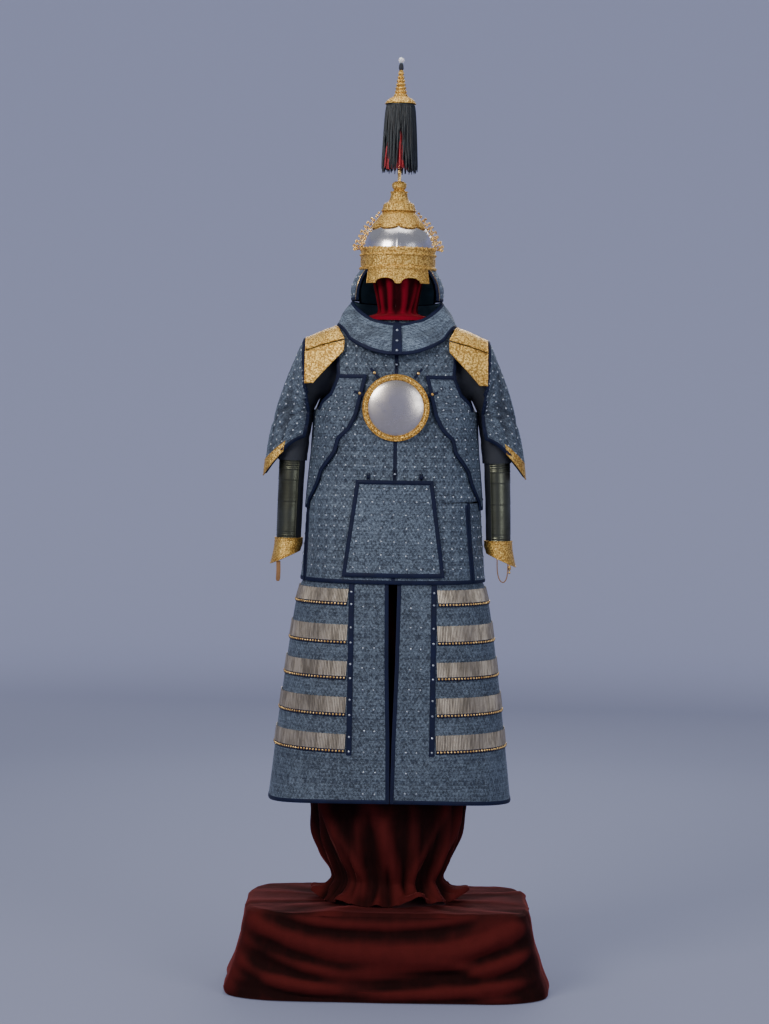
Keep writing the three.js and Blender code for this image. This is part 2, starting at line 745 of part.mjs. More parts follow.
// Armhole line seen from the front, as the distance from the middle
const armholeFront = [
  { z: 1600, across: 224 }, { z: 1604, across: 210 }, { z: 1624, across: 203 }, { z: 1647, across: 180 },
  { z: 1691, across: 163 }, { z: 1740, across: 166 }, { z: 1776, across: 192 }, { z: 1790, across: 210 },
];
const slitFront = [
  { z: 1128, left: 221, right: 244 },
  { z: 1265, left: 208, right: 240 },
  { z: 1350, left: 202, right: 238 },
];
const slitTop = 1350;
const armholeTop = 1790;

function frontSideAngle(z, side) {
  if (z < slitTop) {
    const across = straightAt(slitFront, 'z', side, z);
    return angleAcross(jacketSections, across, z);
  }
  if (z > 1600 && z < armholeTop) {
    const across = straightAt(armholeFront, 'z', 'across', z);
    return Math.min(angleAcross(jacketSections, across, z), 90 * degree - besideSeam);
  }
  return 90 * degree - besideSeam;
}

const backArmhole = [
  { z: 1600, angle: 90 }, { z: 1606, angle: 100 }, { z: 1650, angle: 116 }, { z: 1691, angle: 121 },
  { z: 1740, angle: 116 }, { z: 1776, angle: 102 }, { z: 1790, angle: 90 },
];
const backSlit = [{ z: 1128, left: 104, right: 72 }, { z: 1350, left: 104, right: 88 }];

function backSideAngle(z, side) {
  if (z < slitTop) return straightAt(backSlit, 'z', side, z) * degree;
  if (z > 1600 && z < armholeTop) return straightAt(backArmhole, 'z', 'angle', z) * degree + besideSeam;
  return 90 * degree + besideSeam;
}

const jacketHeights = [
  jacketHem, 1240, 1348, 1352, 1480, 1599, 1604, 1625, 1650, 1691, 1740, 1772, 1792, 1820, 1838, 1850,
  jacketNeck,
].map((at) => ({ at, raised: false }));

function addJacket() {
  const frontEdge = (z) => angleAcross(jacketSections, 0.2, z);
  addPiece('jacket_front_left', clothPanel({
    surface: jacketSurface,
    left: frontEdge,
    right: (z) => frontSideAngle(z, 'left'),
    heights: jacketHeights,
    columns: 9,
    lift: -padding,
  }), finish.cloth);
  addPiece('jacket_front_right', clothPanel({
    surface: jacketSurface,
    left: (z) => -frontSideAngle(z, 'right'),
    right: (z) => -frontEdge(z),
    heights: jacketHeights,
    columns: 9,
    lift: -padding,
  }), finish.cloth);
  addPiece('jacket_back', clothPanel({
    surface: jacketSurface,
    left: (z) => backSideAngle(z, 'left'),
    right: (z) => 2 * Math.PI - backSideAngle(z, 'right'),
    heights: jacketHeights,
    columns: 18,
    lift: -padding,
  }), finish.cloth);
}

// Scalloped inner edge of the armpit guards, as the distance from the middle
const guardInner = [
  { z: 1328, across: 234 }, { z: 1345, across: 232 }, { z: 1396, across: 208 }, { z: 1432, across: 198 },
  { z: 1485, across: 161 }, { z: 1520, across: 153 }, { z: 1545, across: 126 }, { z: 1585, across: 106 },
  { z: 1626, across: 96 }, { z: 1697, across: 80 },
];
const guardHeights = [
  1328, 1345, 1396, 1432, 1485, 1520, 1545, 1585, 1606, 1625, 1650, 1687, 1697,
].map((at) => ({ at, raised: at > 1690 }));

function addGuards() {
  const inner = (z) => angleAcross(jacketSections, straightAt(guardInner, 'z', 'across', z), z);
  const outer = (z) => {
    if (z > 1600) return angleAcross(jacketSections, straightAt(armholeFront, 'z', 'across', z) - 2, z);
    return 84 * degree;
  };
  const guard = {
    surface: jacketSurface,
    left: inner,
    right: outer,
    heights: guardHeights,
    columns: 5,
    lift: 2.6,
    wall: padding - 1,
    bound: true,
  };
  addPiece('armpit_guard_left', clothPanel(guard), finish.cloth);
  addPiece('armpit_guard_right', clothPanel({ ...guard, side: -1 }), finish.cloth);
}

function addFrontFlap() {
  const flapTop = { z: 1408, across: 104 };
  const flapBottom = { z: 1146, across: 138 };
  const edge = (z) => {
    const across = straightAt([flapBottom, flapTop], 'z', 'across', z);
    return angleAcross(jacketSections, across, z);
  };
  addPiece('front_flap', clothPanel({
    surface: jacketSurface,
    left: (z) => -edge(z),
    right: edge,
    heights: stepsBetween(flapBottom.z, flapTop.z, 4, true, true),
    columns: 8,
    lift: layer,
    wall: padding - 1,
    bound: true,
  }), finish.cloth);
}

function addSideFlap() {
  const flapBottom = jacketHem;
  addPiece('side_flap', clothPanel({
    surface: jacketSurface,
    left: (z) => frontSideAngle(Math.max(z, jacketHem), 'left') + 0.6 * degree,
    right: (z) => backSideAngle(z, 'left') - 0.6 * degree,
    heights: stepsBetween(flapBottom, slitTop - 2, 4),
    columns: 5,
    lift: -padding,
  }), finish.cloth);
}

// Chest mirror: a domed silver disc in a gilt rim, hung flat against the chest
function addMirror() {
  const behind = [1520, 1560, mirrorHeight, 1650, 1695];
  const chest = -Math.max(...behind.map((z) => valueAt(jacketSections, 'front', z)));
  const back = chest - seam - 0.6;
  const place = (geometry) => {
    geometry.rotateX(Math.PI / 2);
    geometry.translate(0, back, mirrorHeight);
    return geometry;
  };
  const disc = [[0, 0], [mirrorGlass, 0], [mirrorGlass, 5], [66, 10], [50, 14], [30, 17], [0, 18.5]];
  addPiece('chest_mirror', place(latheGeometry(disc, 24)), finish.silver);
  const inside = mirrorGlass + seam;
  const rim = [
    [inside, 0], [mirrorRadius, 0], [mirrorRadius, 4], [mirrorRadius - 3, 7.5], [inside + 3, 7.5],
    [inside, 4.5], [inside, 0],
  ];
  addPiece('chest_mirror_rim', place(latheGeometry(rim, 24)), finish.gilt);
}

// Shoulders: gilt plates bent over each shoulder joint, and a cloth wing that hangs from them

const wingHem = { inner: 242, outer: 361, depth: 64, high: 1524, low: 1420 };

const shoulderArch = [
  { across: 142, top: 1843, front: 122, back: 134 },
  { across: 200, top: 1823, front: 108, back: 120 },
  { across: 256, top: 1798, front: 86, back: 94 },
];
const archFoot = 1655;

// The turn runs from -90 degrees at the front, over the top, to 90 degrees at the back
function archPoint(across, turn, grow = 0) {
  const top = straightAt(shoulderArch, 'across', 'top', across) + grow;
  const depth = straightAt(shoulderArch, 'across', turn < 0 ? 'front' : 'back', across) + grow;
  const rise = Math.cos(turn) ** 0.8;
  const reach = Math.sign(turn) * Math.abs(Math.sin(turn)) ** 0.8;
  return new THREE.Vector3(across, depth * reach, archFoot + (top - archFoot) * rise);
}

// Inner edge of the plates by how far they bend down from the top
const archInner = [{ turn: 0, across: 171 }, { turn: 31, across: 156 }, { turn: 46, across: 144 },
  { turn: 60, across: 146 }, { turn: 86, across: 229 }];

function archPlate({ side, from, to, outer, steps }) {
  const outerRows = [];
  const innerRows = [];
  for (let step = 0; step <= steps; step += 1) {
    const share = step / steps;
    const turn = (from + (to - from) * share) * degree;
    const inner = straightAt(archInner, 'turn', 'across', Math.abs(turn / degree));
    const outerRow = [];
    const innerRow = [];
    for (const part of [0, 0.5, 1]) {
      const across = inner + (outer - inner) * part;
      outerRow.push(archPoint(across, turn, sheet));
      innerRow.push(archPoint(across, turn, 0));
    }
    outerRows.push(outerRow.map((p) => p.setX(p.x * side)));
    innerRows.push(innerRow.map((p) => p.setX(p.x * side)));
  }
  return wallGeometry(outerRows, innerRows);
}

function addShoulderPlates(hand, side) {
  const plate = (from, to, steps) => archPlate({ side, from, to, outer: 253.4, steps });
  const meet = 46;
  addPiece(`shoulder_plate_top_${hand}`, plate(-meet, meet, 8), finish.gilt);
  addPiece(`shoulder_plate_front_${hand}`, plate(-86, -meet - 0.4, 4), finish.gilt);
  addPiece(`shoulder_plate_back_${hand}`, plate(meet + 0.4, 86, 4), finish.gilt);
}

// A wing hangs from the plates' outer arch and ends in a hem that dips at the outside
function wingPoint(turn, share, grow, side) {
  const start = archPoint(256, turn, 1.2);
  const hemAcross = wingHem.inner + (wingHem.outer - wingHem.inner) * Math.cos(turn) ** 0.8;
  const hemDepth = wingHem.depth * Math.sign(turn) * Math.abs(Math.sin(turn)) ** 0.8;
  const hemHeight = wingHem.high - (wingHem.high - wingHem.low) * Math.cos(turn) ** 1.4;
  const place = start.lerp(new THREE.Vector3(hemAcross, hemDepth, hemHeight), share);
  const swell = 20 * Math.sin(Math.PI * Math.min(share, 1)) ** 0.8 * Math.cos(turn);
  const draw = -14 * Math.sin(Math.PI * Math.min(share, 1)) * Math.abs(Math.sin(turn)) ** 3;
  place.x += swell + draw + grow * Math.cos(turn);
  place.y += grow * Math.sin(turn);
  place.x *= side;
  return place;
}

function wingPanel({ side, fromTurn, toTurn, fromShare, toShare, columns, rows, inner, outer }) {
  const outerRows = [];
  const innerRows = [];
  for (let row = 0; row <= rows; row += 1) {
    const share = fromShare + ((toShare - fromShare) * row) / rows;
    const outerRow = [];
    const innerRow = [];
    for (let column = 0; column <= columns; column += 1) {
      const turn = (fromTurn + ((toTurn - fromTurn) * column) / columns) * degree;
      outerRow.push(wingPoint(turn, share, outer, side));
      innerRow.push(wingPoint(turn, share, inner, side));
    }
    outerRows.push(outerRow);
    innerRows.push(innerRow);
  }
  return wallGeometry(outerRows, innerRows);
}

function addWing(hand, side) {
  const cloth = { fromTurn: -88, toTurn: 88, fromShare: 0, toShare: 1, columns: 12, rows: 5 };
  const tip = { fromTurn: -62, toTurn: 62, fromShare: 0.9, toShare: 1.02, columns: 10, rows: 1 };
  const clothWall = { inner: -2, outer: 2.5 };
  const tipWall = { inner: 3.6, outer: 3.6 + sheet };
  addPiece(`shoulder_wing_${hand}`, wingPanel({ side, ...cloth, ...clothWall }), finish.cloth);
  addPiece(`wing_tip_${hand}`, wingPanel({ side, ...tip, ...tipWall }), finish.gilt);
}

// Sleeves: dark cloth from the armhole to the elbow, steel plates to the wrist, a flared gilt cuff

const upperSleeve = [
  { x: 150.8, z: 1705, halfWidth: 66, halfDepth: 74, tilt: 90 * degree },
  { x: 190, z: 1702, halfWidth: 66, halfDepth: 72, tilt: 86 * degree },
  { x: 232, z: 1686, halfWidth: 61, halfDepth: 66, tilt: 68 * degree },
  { x: 263.5, z: 1640, halfWidth: 52.5, halfDepth: 60, tilt: 40 * degree },
  { x: 277.5, z: 1570, halfWidth: 47, halfDepth: 54, tilt: 12 * degree },
  { x: 286, z: 1458, halfWidth: 41.8, halfDepth: 48.8, tilt: 2 * degree },
];
const plateSleeve = [
  { x: 284.9, z: 1490, halfWidth: 38.2, halfDepth: 45.2, tilt: 5 * degree },
  { x: 286, z: 1455, halfWidth: 38.2, halfDepth: 45.1, tilt: 2 * degree },
  { x: 290, z: 1340, halfWidth: 37, halfDepth: 43, tilt: 0 },
  { x: 293, z: 1226, halfWidth: 36, halfDepth: 42, tilt: 0 },
];
const cuffSleeve = [
  { x: 293, z: 1240, halfWidth: 39.3, halfDepth: 45.4, tilt: 0 },
  { x: 294.5, z: 1217, halfWidth: 42, halfDepth: 49, tilt: -10 * degree },
  { x: 302, z: 1188, halfWidth: 46, halfDepth: 53, tilt: -24 * degree },
];

function addSleeve(hand, side) {
  addPiece(`sleeve_${hand}`, tubeGeometry(upperSleeve, side, thinCloth), finish.darkCloth);
  addPiece(`sleeve_plates_${hand}`, tubeGeometry(plateSleeve, side, sheet), finish.greenSteel);
  addPiece(`cuff_${hand}`, tubeGeometry(cuffSleeve, side, sheet), finish.gilt);
}

// Middle of the cuff's lower edge, on its front half, at a distance from the middle
function cuffEdge(across) {
  const { x, z, halfWidth, halfDepth, tilt } = cuffSleeve.at(-1);
  const share = (across - x) / ((halfWidth - sheet / 2) * Math.cos(tilt));
  const y = -(halfDepth - sheet / 2) * Math.sqrt(1 - share ** 2);
  return { y, z: z + (across - x) * Math.tan(tilt) };
}

// A flat strap hangs from the right cuff and a thin loop from the left
function addCuffLoops() {
  const strapWidth = 12;
  const strapLength = 56;
  const strapAcross = 320;
  const strap = new THREE.BoxGeometry(strapWidth, 2.2, strapLength);
  const strapEnd = cuffEdge(strapAcross + strapWidth / 2);
  strap.translate(-strapAcross, strapEnd.y, strapEnd.z - 0.2 - strapLength / 2);
  addPiece('cuff_strap_right', fromSolid(toSolid(bare(strap))), finish.strap);
  const loop = { inner: 289, outer: 319, drop: 58, radius: 1.6 };
  const parts = 14;
  const points = [];
  for (let step = 0; step <= parts; step += 1) {
    const share = step / parts;
    const start = cuffEdge(loop.inner);
    const end = cuffEdge(loop.outer);
    const x = (loop.inner + loop.outer) / 2 - ((loop.outer - loop.inner) / 2) * Math.cos(Math.PI * share);
    const y = start.y + (end.y - start.y) * share;
    const top = start.z + (end.z - start.z) * share - 1;
    points.push(new THREE.Vector3(x, y, top - loop.drop * Math.sin(Math.PI * share) ** 0.6));
  }
  const route = new THREE.CatmullRomCurve3(points);
  const section = new THREE.Shape().absarc(0, 0, loop.radius, 0, 2 * Math.PI, false);
  const settings = { steps: 16, extrudePath: route, curveSegments: 3, bevelEnabled: false };
  const cord = new THREE.ExtrudeGeometry(section, settings);
  addPiece('cuff_loop_left', fromSolid(toSolid(mergeVertices(bare(cord), 1e-4))), finish.strap);
}

// Skirt: two panels that meet at the front and the back, with steel strips across them

const frontOpening = [
  { z: 510, across: 1.5 }, { z: 700, across: 4 }, { z: 900, across: 10 }, { z: 1118, across: 13 },
];
const stripAcross = { from: 105, to: 120 };
const stripFoot = 664;
const steelBands = [
  { bottom: 1066, top: 1111 },
  { bottom: 962, top: 1015 },
  { bottom: 866, top: 916 },
  { bottom: 767, top: 820 },
  { bottom: 669, top: 720 },
];

function hemHeight(angle, z) {
  const share = Math.max(0, 1 - (z - skirtHemSide) / 110);
  return z + (skirtHemFront - skirtHemSide) * Math.cos(angle) ** 2 * share;
}

function addSkirtPanel(hand, side) {
  const middleHeights = [800, 900, 1011, 1066, 1108, 1130, 1190, 1235];
  const heights = [skirtHemSide, stripFoot - 1, stripFoot, ...middleHeights, skirtTop];
  const angleOf = (across, z) => angleAcross(skirtSections, across, z);
  const outerRows = [];
  const innerRows = [];
  for (const height of heights) {
    const strip = [stripAcross.from - 1, stripAcross.from, stripAcross.to, stripAcross.to + 1];
    const opening = straightAt(frontOpening, 'z', 'across', height);
    const frontAngles = [opening, ...strip].map((x) => angleOf(x, height));
    const backAngles = [...strip].reverse().map((x) => Math.PI - angleOf(x, height));
    backAngles.push(Math.PI - angleOf(4, height));
    const between = [];
    const [start, end] = [frontAngles.at(-1), backAngles[0]];
    for (let step = 1; step < 12; step += 1) between.push(start + ((end - start) * step) / 12);
    const angles = [...frontAngles, ...between, ...backAngles];
    const raised = [2, 3, angles.length - 4, angles.length - 3];
    const outerRow = [];
    const innerRow = [];
    angles.forEach((angle, column) => {
      const z = hemHeight(angle, height);
      const rise = raised.includes(column) && height >= stripFoot && height < 1120 ? bindingRise : 0;
      outerRow.push(movedOut(skirtSurface, angle, z, rise));
      innerRow.push(movedOut(skirtSurface, angle, z, -padding));
    });
    outerRows.push(outerRow.map((p) => p.setX(p.x * side)));
    innerRows.push(innerRow.map((p) => p.setX(p.x * side)));
  }
  addPiece(`skirt_${hand}`, wallGeometry(outerRows, innerRows), finish.cloth);
}

function addSteelBands(hand, side) {
  steelBands.forEach(({ bottom, top }, index) => {
    const start = (z) => angleAcross(skirtSections, stripAcross.to + 2.5, z);
    const shape = {
      surface: skirtSurface,
      heights: [{ at: bottom }, { at: top }],
      columns: 12,
      lift: 0.8,
      wall: sheet,
    };
    const panel = clothPanel({ ...shape, left: start, right: (z) => Math.PI - start(z), side });
    addPiece(`skirt_band_${hand}_${index + 1}`, panel, finish.strip);
  });
}

function addWaistband() {
  const heights = [1225, 1275];
  const outerRows = heights.map((z) => surfaceRing(formSurface, z, 18, -(seam + thinCloth)));
  const innerRows = heights.map((z) => surfaceRing(formSurface, z, 18, -seam));
  addPiece('skirt_waistband', wallGeometry(outerRows, innerRows, true), finish.binding);
}

addPlinth();
addForm();
addBowl();
addBand();
addBrowPlate();
addCrown();
addBud();
addStem();
addPlume();
addRimCloth();
addGorget();
addJacket();
addGuards();
addFrontFlap();
addSideFlap();
addMirror();
addWaistband();
addCuffLoops();
for (const { hand, side } of [{ hand: 'left', side: 1 }, { hand: 'right', side: -1 }]) {
  addCrest(`helmet_crest_${hand}`, side);
  addShoulderPlates(hand, side);
  addWing(hand, side);
  addSleeve(hand, side);
  addSkirtPanel(hand, side);
  addSteelBands(hand, side);
}

export default armour;
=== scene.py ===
import bpy
import bmesh
import math
from bisect import bisect_right
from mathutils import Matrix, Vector, noise


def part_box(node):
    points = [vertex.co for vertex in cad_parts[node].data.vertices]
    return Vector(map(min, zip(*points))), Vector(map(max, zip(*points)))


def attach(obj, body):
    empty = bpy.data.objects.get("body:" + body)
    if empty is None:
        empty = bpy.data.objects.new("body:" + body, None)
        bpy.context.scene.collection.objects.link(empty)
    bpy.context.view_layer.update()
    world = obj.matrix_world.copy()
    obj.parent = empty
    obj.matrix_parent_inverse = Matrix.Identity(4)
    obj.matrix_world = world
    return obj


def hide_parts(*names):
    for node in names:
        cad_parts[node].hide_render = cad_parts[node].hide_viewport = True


# Studded cotton armour on its velvet-covered stand. Shapes are worked out in millimetres and written in metres.
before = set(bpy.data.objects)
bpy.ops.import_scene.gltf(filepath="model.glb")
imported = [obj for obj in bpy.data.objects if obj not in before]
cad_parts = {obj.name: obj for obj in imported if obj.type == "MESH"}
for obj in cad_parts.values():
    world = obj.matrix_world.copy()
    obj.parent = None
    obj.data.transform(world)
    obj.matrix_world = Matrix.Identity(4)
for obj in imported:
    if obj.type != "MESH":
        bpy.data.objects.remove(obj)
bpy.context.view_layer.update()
mm = 0.001
degree = math.pi / 180


# Camera and lights

cameraPlace = {"across": -0.031, "distance": 7.0, "height": 1.600, "lens": 87.89, "rise": -0.099, "roll": -0.95}


def addCamera():
    data = bpy.data.cameras.new("photoCamera")
    data.sensor_fit = "VERTICAL"
    data.sensor_height = 36
    data.sensor_width = 36
    data.lens = cameraPlace["lens"]
    data.shift_y = cameraPlace["rise"]
    camera = bpy.data.objects.new("photoCamera", data)
    camera.location = (cameraPlace["across"], -cameraPlace["distance"], cameraPlace["height"])
    camera.rotation_euler = (90 * degree, cameraPlace["roll"] * degree, 0)
    bpy.context.scene.collection.objects.link(camera)
    bpy.context.scene.camera = camera


def addLight(name, place, aim, size, power, colour):
    data = bpy.data.lights.new(name, "AREA")
    data.shape = "RECTANGLE"
    data.size, data.size_y = size
    data.energy = power
    data.color = colour
    light = bpy.data.objects.new(name, data)
    light.location = place
    light.rotation_euler = (Vector(aim) - Vector(place)).to_track_quat("-Z", "Y").to_euler()
    bpy.context.scene.collection.objects.link(light)


addCamera()
print("camera done")

# Thin loop under the left cuff: the points of part.mjs, worked out from the same sizes, in metres
cuffLoop = {"inner": 0.289, "outer": 0.319, "drop": 0.058, "radius": 0.0016, "length": 0.128}
cuffSections = [(293, 1240, 39.3, 45.4, 0), (294.5, 1217, 42, 49, -10), (302, 1188, 46, 53, -24)]
sheetMetal = 2.5


def cuffEdge(across):
    x, z, halfWidth, halfDepth, tilt = cuffSections[-1]
    share = (across - x) / ((halfWidth - sheetMetal / 2) * math.cos(tilt * degree))
    depth = -(halfDepth - sheetMetal / 2) * math.sqrt(1 - share**2)
    return depth, z + (across - x) * math.tan(tilt * degree)


def loopPoints():
    startDepth, startTop = cuffEdge(cuffLoop["inner"] / mm)
    endDepth, endTop = cuffEdge(cuffLoop["outer"] / mm)
    middle = (cuffLoop["inner"] + cuffLoop["outer"]) / 2
    half = (cuffLoop["outer"] - cuffLoop["inner"]) / 2
    points = []
    for step in range(29):
        share = step / 28
        top = (startTop + (endTop - startTop) * share - 1) * mm
        depth = (startDepth + (endDepth - startDepth) * share) * mm
        x = middle - half * math.cos(math.pi * share)
        points.append(Vector((x, depth, top - cuffLoop["drop"] * math.sin(math.pi * share) ** 0.6)))
    return points


# Mesh building: a build holds vertices in millimetres, faces, and one UV pair per face corner, in metres

def newBuild():
    return {"vertices": [], "faces": [], "uvs": []}


def addFace(build, corners, uvs=None):
    build["faces"].append(tuple(corners))
    build["uvs"].extend(uvs or [(0.0, 0.0)] * len(corners))


# A mesh in one of the looks below, which replaces the named solids; faces past the sharp angle stay creased
def makePiece(name, build, look, nodes=(), sharp=50):
    slotName, material = looks[look]
    mesh = bpy.data.meshes.new(name)
    mesh.from_pydata([Vector(v) * mm for v in build["vertices"]], [], build["faces"])
    layer = mesh.uv_layers.new(name="clothMap")
    layer.uv.foreach_set("vector", [c for uv in build["uvs"] for c in uv])
    work = bmesh.new()
    work.from_mesh(mesh)
    bmesh.ops.recalc_face_normals(work, faces=work.faces)
    work.to_mesh(mesh)
    work.free()
    if "folds" in build:
        folds = mesh.attributes.new("fold", "FLOAT", "POINT")
        folds.data.foreach_set("value", build["folds"])
    mesh.shade_smooth()
    mesh.set_sharp_from_angle(angle=sharp * degree)
    mesh.materials.append(material)
    piece = bpy.data.objects.new(name, mesh)
    bpy.context.scene.collection.objects.link(piece)
    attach(piece, "root")
    if nodes:
        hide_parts(*nodes)
    return piece


# Height tables: the first column is the height

def rowOf(table, value):
    row = 0
    while row < len(table) - 2 and table[row + 1][0] < value:
        row += 1
    return row


def straightAt(table, value, column=1):
    if value <= table[0][0]:
        return table[0][column]
    if value >= table[-1][0]:
        return table[-1][column]
    row = rowOf(table, value)
    share = (value - table[row][0]) / (table[row + 1][0] - table[row][0])
    return table[row][column] + share * (table[row + 1][column] - table[row][column])


def smoothAt(table, value, column=1):
    if value <= table[0][0]:
        return table[0][column]
    if value >= table[-1][0]:
        return table[-1][column]
    row = rowOf(table, value)

    def slope(at):
        before, after = table[max(at - 1, 0)], table[min(at + 1, len(table) - 1)]
        return (after[column] - before[column]) / (after[0] - before[0])

    span = table[row + 1][0] - table[row][0]
    t = (value - table[row][0]) / span
    start, end = table[row][column], table[row + 1][column]
    curve = start * (1 + 2 * t) * (1 - t) ** 2 + end * t * t * (3 - 2 * t)
    return curve + span * (slope(row) * t * (1 - t) ** 2 - slope(row + 1) * t * t * (1 - t))


# Body sections: height, half width, depth in front, depth behind, squareness
jacketSections = [
    (1118, 259, 197, 189, 2.3), (1230, 249, 182, 172, 2.3), (1350, 241, 166, 157, 2.3), (1490, 229, 152, 145, 2.3),
    (1630, 223, 144, 142, 2.3), (1720, 221, 132, 138, 2.3), (1786, 211, 110, 126, 2.25), (1820, 180, 95, 111, 2.2),
    (1838, 140, 82, 96, 2.1), (1850, 100, 76, 84, 2), (1858, 76, 72, 74, 2),
]
skirtSections = [
    (510, 340, 243, 240, 2.3), (650, 325, 233, 230, 2.3), (800, 307, 222, 218, 2.3), (900, 294, 214, 209, 2.3),
    (1011, 279, 205, 198, 2.3), (1066, 270, 199, 191, 2.3), (1108, 260, 194, 186, 2.3), (1130, 250, 188, 180, 2.3),
    (1190, 232, 172, 164, 2.25), (1235, 205, 150, 146, 2.15), (1262, 191.5, 142, 142, 2.1),
]
formSections = [
    (236.3, 190, 150, 145, 2), (262, 172, 134, 130, 2), (302, 152, 120, 118, 2), (409, 197, 150, 148, 2),
    (504, 216, 164, 160, 2), (700, 214, 162, 158, 2), (1000, 200, 148, 146, 2), (1225, 178, 128, 128, 2.1),
    (1275, 178, 128, 128, 2.1), (1450, 162, 118, 116, 2.1), (1620, 150, 116, 116, 2.1), (1785, 150, 92, 104, 2.1),
]
headSections = [
    (1872, 58, 58, 60, 2), (1910, 62, 74, 66, 2), (1950, 70, 90, 86, 2), (1994, 78, 100.7, 100.7, 2),
    (2030, 79, 100.7, 100.7, 2), (2062, 70, 84, 84, 2), (2088, 48, 58, 58, 2),
]


def signedPower(value, power):
    return math.copysign(abs(value) ** power, value)


# Angle 0 is the middle of the front and 90 degrees the wearer's left side
def bodyPoint(sections, angle, z):
    power = 2 / smoothAt(sections, z, 4)
    along = math.cos(angle)
    depth = smoothAt(sections, z, 2 if along >= 0 else 3)
    x = signedPower(math.sin(angle), power) * smoothAt(sections, z, 1)
    return Vector((x, -signedPower(along, power) * depth, z))


def angleAcross(sections, x, z):
    share = min(abs(x) / smoothAt(sections, z, 1), 1)
    return math.copysign(math.asin(share ** (smoothAt(sections, z, 4) / 2)), x)


def movedOut(place, u, v, distance):
    alongU = place(u + 1e-3, v) - place(u - 1e-3, v)
    alongV = place(u, v + 1) - place(u, v - 1)
    return place(u, v) + alongU.cross(alongV).normalized() * distance


# Cloth grids: rows from the bottom up, columns from left to right as seen from outside

def gridNormals(points, ring=False, sense=1):
    rows, columns = len(points), len(points[0])
    normals = []
    for r in range(rows):
        row = []
        for c in range(columns):
            if ring:
                across = points[r][1 if c == columns - 1 else c + 1] - points[r][columns - 2 if c == 0 else c - 1]
            else:
                across = points[r][min(c + 1, columns - 1)] - points[r][max(c - 1, 0)]
            up = points[min(r + 1, rows - 1)][c] - points[max(r - 1, 0)][c]
            row.append(across.cross(up).normalized() * sense)
        normals.append(row)
    return normals


def gridLengths(points, centre):
    middle = round(centre * (len(points[0]) - 1))
    across = []
    for row in points:
        lengths = [0.0]
        for a, b in zip(row, row[1:]):
            lengths.append(lengths[-1] + (b - a).length)
        across.append([length - lengths[middle] for length in lengths])
    along = [0.0]
    for low, high in zip(points, points[1:]):
        along.append(along[-1] + (high[middle] - low[middle]).length)
    return across, along


def makeGrid(points, relief=None, centre=0.5, ring=False, sense=1):
    across, along = gridLengths(points, centre)
    normals = gridNormals(points, ring, sense)
    heights = []
    if relief:
        heights = [[relief(u, v, p) for p, u in zip(pointRow, acrossRow)]
                   for pointRow, acrossRow, v in zip(points, across, along)]
        points = [[p + n * height for p, n, height in zip(*rows)] for rows in zip(points, normals, heights)]
        if ring:
            for row in points:
                row[-1] = row[0].copy()
        normals = gridNormals(points, ring, sense)
    return {"points": points, "normals": normals, "across": across, "along": along, "ring": ring, "heights": heights}


# How high each point of a folded cloth lies, from 0 in the troughs to 1 on the ridges, for the painted shade and light
# of its colour
def foldShares(grid):
    span = len(grid["points"][0]) - (1 if grid["ring"] else 0)
    heights = [height for row in grid["heights"] for height in row[:span]]
    ranked = sorted(heights)
    low, high = ranked[len(ranked) // 12], ranked[-len(ranked) // 14]
    return [min(max((height - low) / (high - low), 0.0), 1.0) for height in heights] * 2


# The point, normal and distance to the nearest edge at a place on a grid, or None beside it
def gridAt(grid, u, v):
    along = grid["along"]
    if not along[0] <= v <= along[-1]:
        return None
    r = min(bisect_right(along, v) - 1, len(along) - 2)
    rowShare = (v - along[r]) / (along[r + 1] - along[r])
    found = []
    for row in (r, r + 1):
        across = grid["across"][row]
        if not across[0] <= u <= across[-1]:
            return None
        c = min(bisect_right(across, u) - 1, len(across) - 2)
        share = (u - across[c]) / max(across[c + 1] - across[c], 1e-9)
        point = grid["points"][row][c].lerp(grid["points"][row][c + 1], share)
        normal = grid["normals"][row][c].lerp(grid["normals"][row][c + 1], share)
        found.append((point, normal, min(u - across[0], across[-1] - u)))
    point = found[0][0].lerp(found[1][0], rowShare)
    normal = found[0][1].lerp(found[1][1], rowShare).normalized()
    edge = min(found[0][2], found[1][2], v - along[0], along[-1] - v)
    return point, normal, edge


# Closed wall of cloth or metal over a grid
def addShell(build, grid, lift, wall):
    points, normals = grid["points"], grid["normals"]
    rows, columns = len(points), len(points[0])
    span = columns - 1 if grid["ring"] else columns
    first = len(build["vertices"])
    for height in (lift + wall, lift):
        for r in range(rows):
            for c in range(span):
                build["vertices"].append(points[r][c] + normals[r][c] * height)

    def at(r, c, inner=0):
        return first + inner * rows * span + r * span + c % span

    def uv(r, c):
        return (grid["across"][r][c] * mm, grid["along"][r] * mm)

    for r in range(rows - 1):
        for c in range(columns - 1):
            corners = [(r, c), (r, c + 1), (r + 1, c + 1), (r + 1, c)]
            uvs = [uv(*corner) for corner in corners]
            addFace(build, [at(*corner) for corner in corners], uvs)
            addFace(build, [at(*corner, 1) for corner in reversed(corners)], list(reversed(uvs)))
    for c in range(columns - 1):
        low = [(0, c + 1), (0, c)]
        top = [(rows - 1, c), (rows - 1, c + 1)]
        for a, b in (low, top):
            addFace(build, [at(*a), at(*b), at(*b, 1), at(*a, 1)], [uv(*a), uv(*b), uv(*b), uv(*a)])
    if not grid["ring"]:
        for r in range(rows - 1):
            for a, b in (((r, 0), (r + 1, 0)), ((r + 1, columns - 1), (r, columns - 1))):
                addFace(build, [at(*a), at(*b), at(*b, 1), at(*a, 1)], [uv(*a), uv(*b), uv(*b), uv(*a)])


def addWall(name, grid, lift, wall, look, nodes=(), sharp=50, foldShade=False):
    build = newBuild()
    addShell(build, grid, lift, wall)
    # Fold heights kept on the mesh drive the painted shade and light of the folds
    if foldShade:
        build["folds"] = foldShares(grid)
    return makePiece(name, build, look, nodes, sharp)


